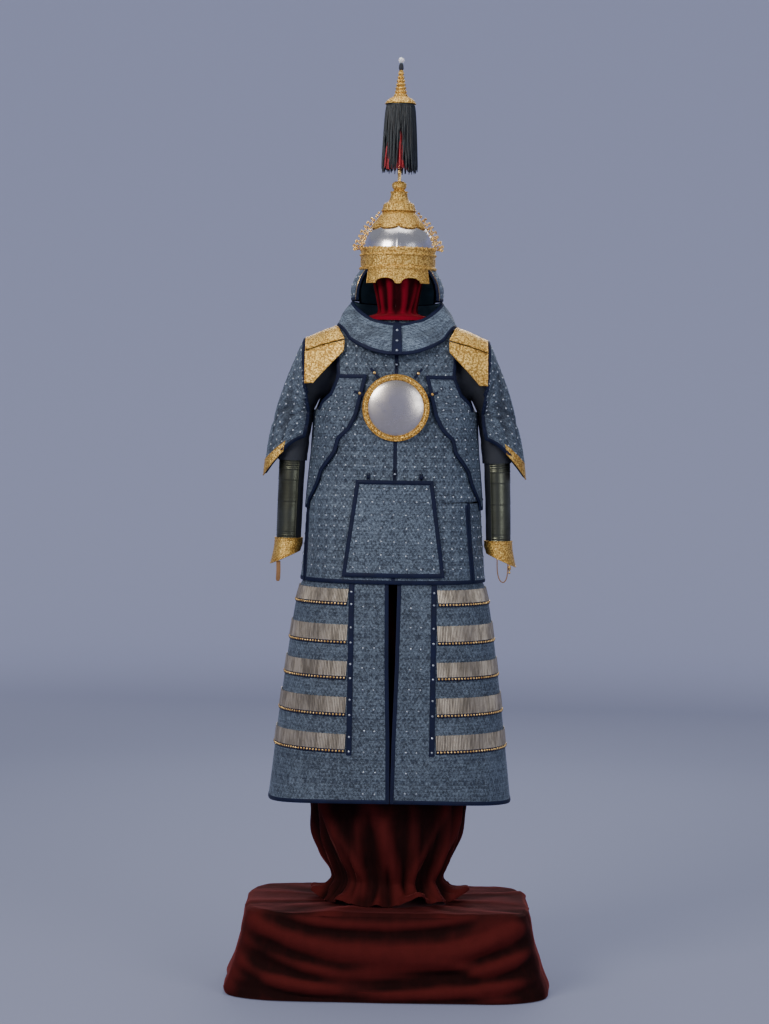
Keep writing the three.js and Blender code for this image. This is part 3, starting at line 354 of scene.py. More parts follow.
# Border of a grid with the direction into the cloth at each point
def borderOf(grid, side):
    points, normals = grid["points"], grid["normals"]
    last = len(points) - 1
    if side == "bottom":
        line = [(points[0][c], points[1][c], normals[0][c]) for c in range(len(points[0]))]
    elif side == "top":
        line = [(points[last][c], points[last - 1][c], normals[last][c]) for c in range(len(points[0]))]
    elif side == "left":
        line = [(row[0], row[1], normal[0]) for row, normal in zip(points, normals)]
    else:
        line = [(row[-1], row[-2], normal[-1]) for row, normal in zip(points, normals)]
    return line


# Padded silk strip folded round the edges of a panel
binding = {"width": 10, "rise": 1.4, "over": 1.3}


def addBinding(build, grid, side, lift, wall, width, rise=None):
    rise = rise or binding["rise"]
    over = binding["over"]
    top = lift + wall
    section = [
        (-over, lift + wall / 2), (-over * 0.7, top + rise * 0.2), (over * 0.8, top + rise * 0.85),
        (width * 0.5, top + rise), (width - 1.2, top + rise * 0.8), (width, top - 0.2),
        (width, lift + 0.3), (width * 0.5, lift - 0.4), (over * 0.6, lift - 0.5), (-over * 0.7, lift),
    ]
    line = borderOf(grid, side)
    frames = []
    for index, (point, inner, normal) in enumerate(line):
        before, after = line[max(index - 1, 0)][0], line[min(index + 1, len(line) - 1)][0]
        run = (after - before).normalized()
        inward = inner - point
        inward = (inward - run * inward.dot(run) - normal * inward.dot(normal)).normalized()
        frames.append((point, inward, normal))
    addSweep(build, frames, section)


def allRound(width):
    return dict.fromkeys(("left", "right", "top", "bottom"), width)


def hanging(width):
    return dict.fromkeys(("left", "right", "bottom"), width)


# The bindings of a panel, of one width for each border
def addTrim(name, grid, widths, lift, wall, rise=None):
    build = newBuild()
    for border, width in widths.items():
        addBinding(build, grid, border, lift, wall, width, rise)
    return makePiece(f"{name}_binding", build, "binding")


# A section carried along frames of point, sideways and outward directions, closed at both ends
def addSweep(build, frames, section, ring=False):
    first = len(build["vertices"])
    count = len(section)
    for point, sideways, outward in frames:
        for a, b in section:
            build["vertices"].append(point + sideways * a + outward * b)
    lengths = [0.0]
    for (a, _, _), (b, _, _) in zip(frames, frames[1:]):
        lengths.append(lengths[-1] + (b - a).length * mm)
    steps = len(frames) if ring else len(frames) - 1
    for row in range(steps):
        following = (row + 1) % len(frames)
        low = lengths[row]
        high = lengths[row + 1] if row + 1 < len(lengths) else low + 0.005
        for k in range(count):
            after = (k + 1) % count
            corners = [first + row * count + k, first + row * count + after,
                       first + following * count + after, first + following * count + k]
            side = [section[k][0] * mm, section[after][0] * mm]
            addFace(build, corners, [(side[0], low), (side[1], low), (side[1], high), (side[0], high)])
    if not ring:
        addFace(build, [first + k for k in reversed(range(count))])
        addFace(build, [first + (len(frames) - 1) * count + k for k in range(count)])


# Round tube through points, of one radius or one radius for each point
def addTube(build, points, radius, sides=6, ring=False):
    count = len(points)
    radii = radius if isinstance(radius, (list, tuple)) else [radius] * count
    frames = []
    start = (points[1] - points[0]).normalized()
    sideways = start.orthogonal().normalized()
    for index, point in enumerate(points):
        if ring:
            run = (points[(index + 1) % count] - points[index - 1]).normalized()
        else:
            run = (points[min(index + 1, count - 1)] - points[max(index - 1, 0)]).normalized()
        sideways = (sideways - run * sideways.dot(run)).normalized()
        outward = run.cross(sideways)
        frames.append((point, sideways * radii[index], outward * radii[index]))
    section = [(math.cos(2 * math.pi * k / sides), math.sin(2 * math.pi * k / sides)) for k in range(sides)]
    addSweep(build, frames, section, ring)


def addDome(build, point, normal, radius, height, sides=8):
    first = len(build["vertices"])
    sideways = normal.orthogonal().normalized()
    outward = normal.cross(sideways)
    for ringRadius, level in ((1.0, -0.25), (1.0, 0.12), (0.74, 0.66)):
        for k in range(sides):
            turn = 2 * math.pi * k / sides
            across = sideways * (math.cos(turn) * ringRadius * radius) + outward * (math.sin(turn) * ringRadius * radius)
            build["vertices"].append(point + across + normal * (level * height))
    build["vertices"].append(point + normal * height)
    top = len(build["vertices"]) - 1
    for k in range(sides):
        after = (k + 1) % sides
        for row in (0, 1):
            low, high = first + row * sides, first + (row + 1) * sides
            addFace(build, [low + k, low + after, high + after, high + k])
        addFace(build, [first + 2 * sides + k, first + 2 * sides + after, top])
    addFace(build, [first + k for k in reversed(range(sides))])


# Turned form round the upright axis: profile of radius and height, with an optional relief
def addLathe(build, profile, segments, middle=(0, 0), relief=None):
    first = len(build["vertices"])
    for index, (radius, z) in enumerate(profile):
        for k in range(segments):
            turn = 2 * math.pi * k / segments
            grown = radius + (relief(turn, z, index) if relief and radius > 0.5 else 0)
            build["vertices"].append(Vector((middle[0] + grown * math.sin(turn), middle[1] - grown * math.cos(turn),
                                             z)))
    length = 0.0
    for row in range(len(profile) - 1):
        step = math.dist(profile[row], profile[row + 1]) * mm
        for k in range(segments):
            after = (k + 1) % segments
            corners = [first + row * segments + k, first + row * segments + after,
                       first + (row + 1) * segments + after, first + (row + 1) * segments + k]
            u0, u1 = (x * 2 * math.pi / segments * profile[row][0] * mm for x in (k, k + 1))
            addFace(build, corners, [(u0, length), (u1, length), (u1, length + step), (u0, length + step)])
        length += step
    addFace(build, [first + k for k in reversed(range(segments))])
    addFace(build, [first + (len(profile) - 1) * segments + k for k in range(segments)])


# Smooth profile through given corners
def rounded(profile, steps=3):
    points = []
    for index in range(len(profile) - 1):
        before = Vector(profile[max(index - 1, 0)])
        start, end = Vector(profile[index]), Vector(profile[index + 1])
        after = Vector(profile[min(index + 2, len(profile) - 1)])
        for step in range(steps):
            t = step / steps
            points.append(tuple(0.5 * (
                2 * start + (end - before) * t + (2 * before - 5 * start + 4 * end - after) * t**2
                + (3 * start - before - 3 * end + after) * t**3)))
    points.append(tuple(profile[-1]))
    return [(max(radius, 0.0), z) for radius, z in points]


# Soft troughs (depth below 0 makes a ridge): start and end on the cloth, depth and width
def troughDepth(troughs, u, v):
    total = 0.0
    for startU, startV, endU, endV, depth, width in troughs:
        du, dv = endU - startU, endV - startV
        length = du * du + dv * dv
        share = ((u - startU) * du + (v - startV) * dv) / length
        held = min(max(share, 0.0), 1.0)
        away = math.hypot(u - startU - du * held, v - startV - dv * held)
        if away < 3 * width:
            total -= depth * math.exp(-((away / width) ** 2)) * (0.45 + 0.55 * math.sin(math.pi * min(max(held,
                                                                                                          0.12),
                                                                                                          0.88)))
    return total


def latticePlaces(grid, pitchAcross, pitchUp, margin, offset=(0, 0), keep=None):
    low = min(row[0] for row in grid["across"])
    high = max(row[-1] for row in grid["across"])
    places = []
    up = 0
    while offset[1] + up * pitchUp <= grid["along"][-1]:
        v = offset[1] + up * pitchUp
        for step in range(int(low / pitchAcross) - 1, int(high / pitchAcross) + 2):
            u = offset[0] + step * pitchAcross
            found = gridAt(grid, u, v)
            if found and found[2] > margin and (keep is None or keep(found[0], u, v)):
                places.append(found)
        up += 1
    return places


stud = {"radius": 2.8, "height": 2.0, "wander": 1.6}


def addStuds(build, places, lift):
    for index, (point, normal, _) in enumerate(places):
        beside = normal.cross(Vector((0, 0, 1))).normalized()
        point = point + (beside * math.sin(index * 4.7) + Vector((0, 0, math.cos(index * 7.1)))) * stud["wander"]
        addDome(build, point + normal * lift, normal, stud["radius"], stud["height"])


def addCaps(name, places, lift):
    build = newBuild()
    addStuds(build, places, lift)
    return makePiece(f"{name}_studs", build, "stud")


# Materials: each is a Principled surface with its colour, roughness and bump worked out by nodes

def addNode(tree, kind, inputs=None, **settings):
    node = tree.nodes.new(kind)
    for name, value in settings.items():
        setattr(node, name, value)
    for name, value in (inputs or {}).items():
        socket = node.inputs[name]
        if isinstance(value, bpy.types.NodeSocket):
            tree.links.new(value, socket)
        else:
            socket.default_value = value
    return node


def calc(tree, operation, first, second=0.0, third=0.0):
    return addNode(tree, "ShaderNodeMath", {0: first, 1: second, 2: third}, operation=operation).outputs[0]


def mixColour(tree, share, first, second):
    node = addNode(tree, "ShaderNodeMix", data_type="RGBA")
    for socket, value in ((node.inputs[0], share), (node.inputs[6], first), (node.inputs[7], second)):
        if isinstance(value, bpy.types.NodeSocket):
            tree.links.new(value, socket)
        else:
            socket.default_value = value
    return node.outputs[2]


def between(tree, value, low, high, start=0.0, end=1.0):
    node = addNode(tree, "ShaderNodeMapRange", {0: value, 1: low, 2: high, 3: start, 4: end})
    node.interpolation_type = "SMOOTHSTEP"
    return node.outputs[0]


def noiseOf(tree, place, scale, detail=3.0, rough=0.5):
    return addNode(tree, "ShaderNodeTexNoise", {"Vector": place, "Scale": scale, "Detail": detail,
                                                "Roughness": rough}).outputs[0]


def colour(red, green, blue):
    return (red, green, blue, 1.0)


def newMaterial(name, **values):
    material = bpy.data.materials.new(name)
    material.use_nodes = True
    tree = material.node_tree
    shader = tree.nodes["Principled BSDF"]
    for socket, value in values.items():
        shader.inputs[socket.replace("_", " ")].default_value = value
    inSpace = addNode(tree, "ShaderNodeTexCoord").outputs["Object"]
    return material, tree, shader, inSpace


# Metres across and along the cloth
def alongCloth(tree):
    return addNode(tree, "ShaderNodeUVMap", uv_map="clothMap").outputs[0]


def foldOf(tree):
    return addNode(tree, "ShaderNodeAttribute", attribute_name="fold").outputs[2]


def scaled(tree, place, scales):
    return addNode(tree, "ShaderNodeMapping", {0: place, 3: scales}).outputs[0]


def clamped(tree, value):
    return addNode(tree, "ShaderNodeClamp", {0: value}).outputs[0]


def finishMaterial(tree, shader, base, rough, height, distance, strength=1.0):
    tree.links.new(base, shader.inputs["Base Color"])
    if rough is not None:
        tree.links.new(rough, shader.inputs["Roughness"])
    bump = addNode(tree, "ShaderNodeBump", {"Height": height, "Distance": distance, "Strength": strength})
    tree.links.new(bump.outputs[0], shader.inputs["Normal"])


# Silk brocade with small interlocking three-legged links. The pitch is that of the studs, which sink into it.
def brocade(name, pitch=(0.028, 0.028), tone=1.0, studded=True, foldShade=0.0):
    material, tree, shader, inSpace = newMaterial(
        name, Roughness=0.6, Sheen_Weight=0.12, Sheen_Roughness=0.45, Sheen_Tint=colour(0.55, 0.68, 0.86))
    clothMap = alongCloth(tree)
    u, v = addNode(tree, "ShaderNodeSeparateXYZ", {0: clothMap}).outputs[:2]
    wander = noiseOf(tree, clothMap, 150.0, 2.0, 0.7)
    waves = 0.0
    link = 2 * math.pi / 0.0092
    for turn in (90, 210, 330):
        across = calc(tree, "MULTIPLY", u, link * math.cos(turn * degree))
        phase = calc(tree, "MULTIPLY_ADD", v, link * math.sin(turn * degree), across)
        phase = calc(tree, "MULTIPLY_ADD", wander, 5.0, phase)
        waves = calc(tree, "ADD", calc(tree, "COSINE", phase), waves)
    links = between(tree, waves, -0.1, -1.0)
    curls = noiseOf(tree, clothMap, 210.0, 1.0)
    curls = between(tree, calc(tree, "ABSOLUTE", calc(tree, "SUBTRACT", curls, 0.5)), 0.075, 0.02)
    weave = noiseOf(tree, scaled(tree, clothMap, (900.0, 2600.0, 1.0)), 1.0, 1.0)
    # Painted shade: large random blotches darken the cloth in places, standing in for the shade of folds
    fade = noiseOf(tree, inSpace, 7.0, 4.0, 0.6)
    flecks = noiseOf(tree, clothMap, 120.0, 3.0, 0.75)
    dark = colour(0.012 * tone, 0.02 * tone, 0.036 * tone)
    light = colour(0.2 * tone, 0.26 * tone, 0.325 * tone)
    mottle = noiseOf(tree, clothMap, 48.0, 2.0, 0.6)
    share = calc(tree, "MULTIPLY_ADD", links, 0.2, calc(tree, "MULTIPLY", curls, 0.32))
    share = calc(tree, "MULTIPLY_ADD", calc(tree, "SUBTRACT", mottle, 0.5), 0.7, share)
    share = calc(tree, "MULTIPLY_ADD", weave, 0.22, share)
    share = calc(tree, "MULTIPLY_ADD", calc(tree, "SUBTRACT", flecks, 0.5), 1.5, share)
    share = clamped(tree, calc(tree, "MULTIPLY_ADD", calc(tree, "SUBTRACT", fade, 0.5), 0.5, share))
    base = mixColour(tree, share, dark, light)
    studDimpleAndShadow = 0.0
    if studded:
        squared = 0.0
        for along, step in zip((u, v), pitch):
            steps = calc(tree, "DIVIDE", along, step)
            away = calc(tree, "MULTIPLY", calc(tree, "SUBTRACT", steps, calc(tree, "ROUND", steps)), step)
            squared = calc(tree, "MULTIPLY_ADD", away, away, squared)
        studDimpleAndShadow = between(tree, calc(tree, "SQRT", squared), 0.0085, 0.003)
        # Painted shadow: the cloth is darkened round each stud, where it sinks in; the same mask also sinks the bump
        base = mixColour(tree, calc(tree, "MULTIPLY", studDimpleAndShadow, 0.55), base, colour(0.012, 0.02, 0.04))
    height = calc(tree, "MULTIPLY_ADD", calc(tree, "MAXIMUM", links, curls), 0.4, calc(tree, "MULTIPLY", weave, 0.3))
    height = calc(tree, "SUBTRACT", height, calc(tree, "MULTIPLY", studDimpleAndShadow, 1.3) if studded else 0.0)
    rough = between(tree, share, 0.0, 1.0, 0.72, 0.48)
    # Painted shade: the cloth darkens towards the troughs of its folds
    if foldShade:
        fold = foldOf(tree)
        shadow = calc(tree, "MULTIPLY", between(tree, fold, 0.75, 0.05), foldShade)
        base = mixColour(tree, shadow, base, colour(0.008, 0.013, 0.024))
    finishMaterial(tree, shader, base, rough, height, 0.0011)
    return material


def satin(name, dark, light, rough=0.42, ribs=2200.0, sheen=0.35, gloss=0.5):
    material, tree, shader, inSpace = newMaterial(
        name, Roughness=rough, Sheen_Weight=sheen, Sheen_Roughness=0.4, Sheen_Tint=light, Specular_IOR_Level=gloss)
    weave = noiseOf(tree, scaled(tree, alongCloth(tree), (ribs, ribs * 0.35, 1.0)), 1.0, 1.0)
    fade = noiseOf(tree, inSpace, 22.0, 4.0, 0.65)
    share = calc(tree, "MULTIPLY_ADD", fade, 0.9, calc(tree, "MULTIPLY_ADD", weave, 0.4, -0.3))
    base = mixColour(tree, clamped(tree, share), dark, light)
    height = calc(tree, "MULTIPLY_ADD", fade, 0.8, calc(tree, "MULTIPLY", weave, 0.25))
    finishMaterial(tree, shader, base, between(tree, fade, 0.3, 0.7, rough - 0.06, rough + 0.14), height, 0.0009)
    return material


# Velvet: painted shade darkens the troughs of the folds and painted light reddens the ridges
def velvet(name, dark, light, crush=16.0):
    material, tree, shader, inSpace = newMaterial(
        name, Roughness=0.9, Sheen_Weight=0.45, Sheen_Roughness=0.26, Sheen_Tint=colour(0.75, 0.16, 0.14),
        Specular_IOR_Level=0.06)
    fold = foldOf(tree)
    pressed = noiseOf(tree, scaled(tree, inSpace, (1.0, 1.0, 0.55)), crush, 4.0, 0.6)
    pile = noiseOf(tree, inSpace, 900.0, 2.0)
    # Painted shade and light: the colour runs from dark in the fold troughs to red on the ridges, with crushed
    # blotches at random
    share = calc(tree, "MULTIPLY_ADD", calc(tree, "SUBTRACT", pressed, 0.5), 0.5, between(tree, fold, -0.05, 1.15))
    base = mixColour(tree, clamped(tree, share), dark, light)
    base = mixColour(tree, calc(tree, "MULTIPLY", pile, 0.35), base, colour(0.004, 0.0, 0.0))
    height = calc(tree, "MULTIPLY_ADD", pressed, 1.0, calc(tree, "MULTIPLY", pile, 0.12))
    finishMaterial(tree, shader, base, None, height, 0.003, 0.4)
    return material


# Chased gilt copper: leafy relief, painted dark in its recesses as shade and painted bright on its worn, smoother high
# spots as a highlight; tarnish lies in random blotches
def chasedGilt(name, leaf=230.0, depth=0.0008, tarnish=0.3):
    material, tree, shader, inSpace = newMaterial(name, Metallic=0.72, Roughness=0.36)
    wander = addNode(tree, "ShaderNodeTexNoise", {"Vector": inSpace, "Scale": leaf * 0.6, "Detail": 2.0}).outputs[1]
    moved = addNode(tree, "ShaderNodeVectorMath", {0: wander, 3: 0.9 / leaf}, operation="SCALE").outputs[0]
    place = addNode(tree, "ShaderNodeVectorMath", {0: inSpace, 1: moved}, operation="ADD").outputs[0]
    cells = addNode(tree, "ShaderNodeTexVoronoi", {"Vector": place, "Scale": leaf}, feature="SMOOTH_F1")
    curls = addNode(tree, "ShaderNodeTexWave", {"Vector": place, "Scale": leaf * 0.55, "Distortion": 5.0,
                                                "Detail": 2.0, "Detail Scale": 1.4}, wave_type="RINGS").outputs[1]
    raised = calc(tree, "MULTIPLY_ADD", between(tree, cells.outputs[0], 0.62, 0.2), 0.6,
                  calc(tree, "MULTIPLY", curls, 0.5))
    grime = noiseOf(tree, inSpace, 34.0, 5.0, 0.7)
    fine = noiseOf(tree, inSpace, 520.0, 2.0)
    outOfRecessShade = between(tree, raised, 0.18, 0.68)
    recessShadeAndTarnish, face, bright = colour(0.27, 0.125, 0.02), colour(0.92, 0.57, 0.135), colour(1.0, 0.74, 0.25)
    # Painted shade: the colour darkens into the recesses of the relief
    base = mixColour(tree, outOfRecessShade, recessShadeAndTarnish, face)
    # Painted highlight: the highest relief is painted brighter
    base = mixColour(tree, between(tree, raised, 0.75, 1.05), base, bright)
    base = mixColour(tree, calc(tree, "MULTIPLY", between(tree, grime, 0.5, 0.72), tarnish), base, recessShadeAndTarnish)
    rough = between(tree, raised, 0.2, 1.0, 0.56, 0.34)
    height = calc(tree, "MULTIPLY_ADD", raised, 1.0, calc(tree, "MULTIPLY", fine, 0.05))
    finishMaterial(tree, shader, base, rough, height, depth)
    return material


# Plain gilt mouldings and beads
def plainGilt(name):
    material, tree, shader, inSpace = newMaterial(name, Metallic=1.0, Roughness=0.28)
    grime = noiseOf(tree, inSpace, 60.0, 5.0, 0.7)
    base = mixColour(tree, between(tree, grime, 0.38, 0.66), colour(0.95, 0.64, 0.24), colour(0.46, 0.25, 0.07))
    finishMaterial(tree, shader, base, between(tree, grime, 0.35, 0.7, 0.22, 0.46), grime, 0.0006)
    return material


# Beaten metal with scratches and cloudy patches
def wornMetal(name, bright, dull, rough=(0.2, 0.42), cloud=14.0, scratch=(40.0, 40.0, 900.0), dents=0.0008):
    material, tree, shader, inSpace = newMaterial(name, Metallic=1.0, Roughness=rough[0])
    clouds = noiseOf(tree, inSpace, cloud, 5.0, 0.62)
    lines = noiseOf(tree, scaled(tree, inSpace, scratch), 1.0, 2.0)
    specks = noiseOf(tree, inSpace, 240.0, 3.0, 0.7)
    share = calc(tree, "MULTIPLY_ADD", calc(tree, "SUBTRACT", lines, 0.5), 0.5, between(tree, clouds, 0.34, 0.68))
    share = calc(tree, "MULTIPLY_ADD", between(tree, specks, 0.62, 0.76), 0.35, share)
    base = mixColour(tree, clamped(tree, share), bright, dull)
    finishMaterial(tree, shader, base, between(tree, share, 0.0, 1.0, rough[0], rough[1]),
                   calc(tree, "MULTIPLY_ADD", lines, 0.15, clouds), dents)
    return material


# Thin steel strips that stand side by side, each of its own grey
def stripSteel(name):
    material, tree, shader, inSpace = newMaterial(name, Metallic=0.82, Roughness=0.42)
    own = noiseOf(tree, scaled(tree, inSpace, (210.0, 210.0, 5.0)), 1.0, 2.0, 0.7)
    wide = noiseOf(tree, scaled(tree, inSpace, (38.0, 38.0, 7.0)), 1.0, 2.0, 0.6)
    own = calc(tree, "MULTIPLY_ADD", wide, 0.5, calc(tree, "MULTIPLY", own, 0.5))
    spots = noiseOf(tree, inSpace, 130.0, 4.0, 0.7)
    base = mixColour(tree, between(tree, own, 0.38, 0.62), colour(0.235, 0.2, 0.15), colour(0.52, 0.45, 0.35))
    base = mixColour(tree, calc(tree, "MULTIPLY", between(tree, spots, 0.55, 0.75), 0.55), base,
                     colour(0.2, 0.15, 0.11))
    finishMaterial(tree, shader, base, between(tree, spots, 0.3, 0.7, 0.34, 0.55), spots, 0.0004)
    return material


def darkCloth(name, dark, light, sheen=0.2):
    material, tree, shader, inSpace = newMaterial(
        name, Roughness=0.8, Sheen_Weight=sheen, Sheen_Roughness=0.5, Sheen_Tint=colour(0.5, 0.5, 0.6))
    weave = noiseOf(tree, inSpace, 700.0, 2.0)
    fade = noiseOf(tree, inSpace, 18.0, 4.0, 0.6)
    base = mixColour(tree, calc(tree, "MULTIPLY_ADD", weave, 0.4, calc(tree, "MULTIPLY", fade, 0.6)), dark, light)
    finishMaterial(tree, shader, base, None, calc(tree, "MULTIPLY_ADD", weave, 0.4, fade), 0.0012)
    return material


def horsehair(name, dark, light, sheen):
    material, tree, shader, inSpace = newMaterial(
        name, Roughness=0.5, Sheen_Weight=sheen, Sheen_Roughness=0.35, Sheen_Tint=light)
    strands = noiseOf(tree, scaled(tree, inSpace, (420.0, 420.0, 14.0)), 1.0, 2.0)
    base = mixColour(tree, between(tree, strands, 0.35, 0.68), dark, light)
    finishMaterial(tree, shader, base, None, strands, 0.0008)
    return material


def pearlShell(name):
    material, tree, shader, inSpace = newMaterial(
        name, Roughness=0.16, Coat_Weight=0.6, Coat_Roughness=0.1, Subsurface_Weight=0.1)
    clouds = noiseOf(tree, inSpace, 180.0, 3.0)
    base = mixColour(tree, between(tree, clouds, 0.35, 0.65), colour(0.86, 0.84, 0.78), colour(0.72, 0.71, 0.74))
    finishMaterial(tree, shader, base, None, clouds, 0.0002)
    return material


# Each look: the part's slot and the material
looks = {
    "jacket": ("cloth", brocade("jacketBrocade", pitch=(0.028, 0.028))),
    "flap": ("cloth", brocade("flapBrocade", studded=False, tone=1.06)),
    "skirt": ("cloth", brocade("skirtBrocade", pitch=(0.030, 0.056), tone=0.9)),
    # Wing and gorget cloth get painted shade in their fold troughs
    "wing": ("cloth", brocade("wingBrocade", pitch=(0.030, 0.030), tone=1.05, foldShade=0.62)),
    "gorget": ("cloth", brocade("gorgetBrocade", studded=False, tone=1.42, foldShade=0.4)),
    "binding": ("binding", satin("navyBinding", colour(0.004, 0.006, 0.018), colour(0.014, 0.02, 0.062), 0.55,
                                 sheen=0.03, gloss=0.14)),
    "lining": ("binding", satin("blueLining", colour(0.1, 0.22, 0.26), colour(0.3, 0.5, 0.52), sheen=0.15)),
    "velvet": ("velvet", velvet("redVelvet", colour(0.016, 0.0045, 0.004), colour(0.092, 0.012, 0.0105), 34.0)),
    "hoodVelvet": ("velvet", velvet("redHoodVelvet", colour(0.03, 0.002, 0.004), colour(0.26, 0.006, 0.018), 30.0)),
    "formFelt": ("velvet", darkCloth("formFelt", colour(0.03, 0.004, 0.004), colour(0.07, 0.01, 0.01))),
    "board": ("velvet", darkCloth("plinthBoard", colour(0.10, 0.06, 0.035), colour(0.2, 0.13, 0.08), 0.0)),
    "gilt": ("gilt", chasedGilt("chasedGilt")),
    "giltPlate": ("gilt", chasedGilt("chasedPlateGilt", 210.0, 0.0006, 0.2)),
    "giltFine": ("gilt", chasedGilt("fineChasedGilt", 300.0, 0.0006)),
    "plainGilt": ("gilt", plainGilt("plainGilt")),
    "bowl": ("silver", wornMetal("bowlSilver", colour(0.9, 0.87, 0.87), colour(0.56, 0.52, 0.51), (0.16, 0.36),
                                 dents=0.0004)),
    "mirror": ("silver", wornMetal("mirrorSilver", colour(0.74, 0.67, 0.6), colour(0.52, 0.47, 0.42), (0.26, 0.4),
                                   10.0, dents=0.0002)),
    "strips": ("steel_strip", stripSteel("stripSteel")),
    "stud": ("silver", wornMetal("studSilver", colour(0.66, 0.69, 0.74), colour(0.28, 0.31, 0.35), (0.3, 0.5), 60.0)),
    "greenSteel": ("green_steel", wornMetal("greenSteel", colour(0.12, 0.125, 0.09), colour(0.055, 0.056, 0.04),
                                            (0.34, 0.52), 9.0, (12.0, 12.0, 900.0), 0.0005)),
    "sleeve": ("dark_cloth", darkCloth("sleeveSatin", colour(0.007, 0.009, 0.013), colour(0.03, 0.034, 0.045))),
    "plume": ("plume", horsehair("darkPlume", colour(0.002, 0.003, 0.004), colour(0.012, 0.02, 0.024), 0.05)),
    "redPlume": ("red_plume", horsehair("redPlume", colour(0.2, 0.006, 0.01), colour(0.6, 0.02, 0.03), 0.15)),
    "pearl": ("pearl", pearlShell("pearlShell")),
    "strap": ("strap", darkCloth("strapLeather", colour(0.16, 0.075, 0.028), colour(0.34, 0.18, 0.07), 0.05)),
}
print("materials done")


# Stand: a board under draped velvet, a padded form with gathered velvet below, and a velvet hood

def wrapped(turn):
    return (turn + math.pi) % (2 * math.pi) - math.pi


def spread(*stops):
    values = [stops[0][0]]
    for (low, _), (high, count) in zip(stops, stops[1:]):
        values += [low + (high - low) * step / count for step in range(1, count + 1)]
    return values


plinth = {
    "levels": [(0, 450, 260, 5), (18, 449, 259, 5), (60, 432, 248, 5.5), (130, 412, 236, 6), (205, 399, 227, 6),
               (228, 392, 221, 6), (236, 380, 212, 6)],
    "cut": (1.27, 0.93),
}

# Swagged folds on the long sides: distance across at the ends, height at the ends, sag, depth, width
swags = [
    (-425, 432, 228, 108, 16, 25), (-405, 310, 168, 92, 13, 21), (-432, 70, 112, 70, 10, 17),
    (50, 432, 158, 66, 11, 19),
    (-310, 250, 236, 36, 8, 13), (-432, 432, 66, 44, 9, 15), (-120, 300, 128, 40, 6, 12),
]
swagsBehind = [
    (-420, 428, 222, 100, 14, 24), (-430, 140, 160, 80, 11, 19), (-60, 425, 150, 84, 11, 18),
    (-428, 425, 78, 46, 9, 15),
]
plinthPleats = [(38, 10, 7.0), (47, 7, -6.0), (131, 9, 7.0), (140, 8, -5.0), (218, 9, 6.5), (228, 7, -5.5),
                (309, 10, 7.0), (319, 8, -6.0), (78, 7, 5.0), (93, 6, -4.0), (262, 8, 5.5), (275, 6, -4.0)]


def swagDepth(folds, x, z):
    total = 0.0
    for left, right, ends, sag, depth, width in folds:
        share = (x - left) / (right - left)
        if 0 < share < 1:
            line = ends - sag * 4 * share * (1 - share)
            fade = math.sin(math.pi * share) ** 0.5
            total += depth * fade * math.exp(-(((z - line) / width) ** 2))
            total -= 0.7 * depth * fade * math.exp(-(((z - line + width * 1.5) / (0.8 * width)) ** 2))
    return total


def plinthPoint(turn, level):
    if level <= 1:
        z = 2.0 + 234 * level
        size = plinth["levels"]
        halfWidth, halfDepth, square = (straightAt(size, z, column) for column in (1, 2, 3))
    else:
        inward = level - 1
        z = 236.0 - 1.5 * inward
        halfWidth, halfDepth, square = 380 * (1 - inward * 0.86), 212 * (1 - inward * 0.8), 6 - 3.8 * inward
    x = signedPower(math.sin(turn), 2 / square) * halfWidth
    y = -signedPower(math.cos(turn), 2 / square) * halfDepth
    return Vector((x, y, z))


def addPlinthVelvet():
    columns = 220
    levels = spread((0.0, 0), (0.9, 34), (1.0, 8), (1.14, 7), (2.0, 14))
    points = [[plinthPoint(2 * math.pi * c / columns, level) for c in range(columns + 1)] for level in levels]

    def relief(u, v, p):
        total = 0.0
        front = min(max((-p.y - 150) / 60, 0), 1)
        behind = min(max((p.y - 150) / 60, 0), 1)
        side = min(max(p.z / 236, 0), 1)
        over = 0.35 + 0.65 * min((236.5 - p.z) / 14, 1)
        total += front * over * swagDepth(swags, p.x, p.z) + behind * over * swagDepth(swagsBehind, p.x, p.z)
        turn = math.atan2(p.x / 380, -p.y / 212) / degree % 360
        for middle, width, depth in plinthPleats:
            away = (turn - middle - 7 * (side - 0.5) + 180) % 360 - 180
            total += depth * math.exp(-((away / width) ** 2)) * (1.15 - 0.75 * side)
        if p.z > 226:
            for angle, reach, depth in ((20, 300, 5), (75, 240, 4), (118, 330, 5), (160, 260, 4), (205, 300, 5),
                                        (250, 280, 4), (290, 330, 5.5), (338, 270, 4.5)):
                away = abs(wrapped((turn - angle) * degree)) * 190
                total += depth * math.exp(-((away / 16) ** 2)) * min(p.xy.length / reach, 1)
        total += 3.2 * (noise.noise(p * 0.011) + 0.5 * noise.noise(p * 0.03))
        near = min(p.z / 12, 1)
        return min(max(total, -13.0), 19.0) * near - 4.5

    grid = makeGrid(points, relief, ring=True)
    for row in grid["points"]:
        for p in row:
            p.z = max(p.z, 1.2)
    cover = addWall("plinth_velvet", grid, 0, 2.2, "velvet", ("stand_plinth",), 60, True)
    board = newBuild()
    rings = []
    for z, inset in ((1.0, 26), (6, 24), (214, 24), (224, 27)):
        halfWidth, halfDepth, square = (straightAt(plinth["levels"], z, column) for column in (1, 2, 3))
        rings.append([Vector((signedPower(math.cos(t * degree * 5), 2 / square) * (halfWidth - inset),
                              signedPower(math.sin(t * degree * 5), 2 / square) * (halfDepth - inset), z))
                      for t in range(72)])
    addRings(board, rings)
    makePiece("plinth_board", board, "board", sharp=30)


def addRings(build, rings):
    first = len(build["vertices"])
    count = len(rings[0])
    for ring in rings:
        build["vertices"].extend(ring)
    for row in range(len(rings) - 1):
        for k in range(count):
            after = (k + 1) % count
            corners = (row * count + k, row * count + after, (row + 1) * count + after, (row + 1) * count + k)
            addFace(build, [first + corner for corner in corners])
    addFace(build, [first + k for k in reversed(range(count))])
    addFace(build, [first + (len(rings) - 1) * count + k for k in range(count)])


form = {"rest": 5.9, "skirtCut": (1.42, 0.92), "hoodCut": (0.52, 0.28)}

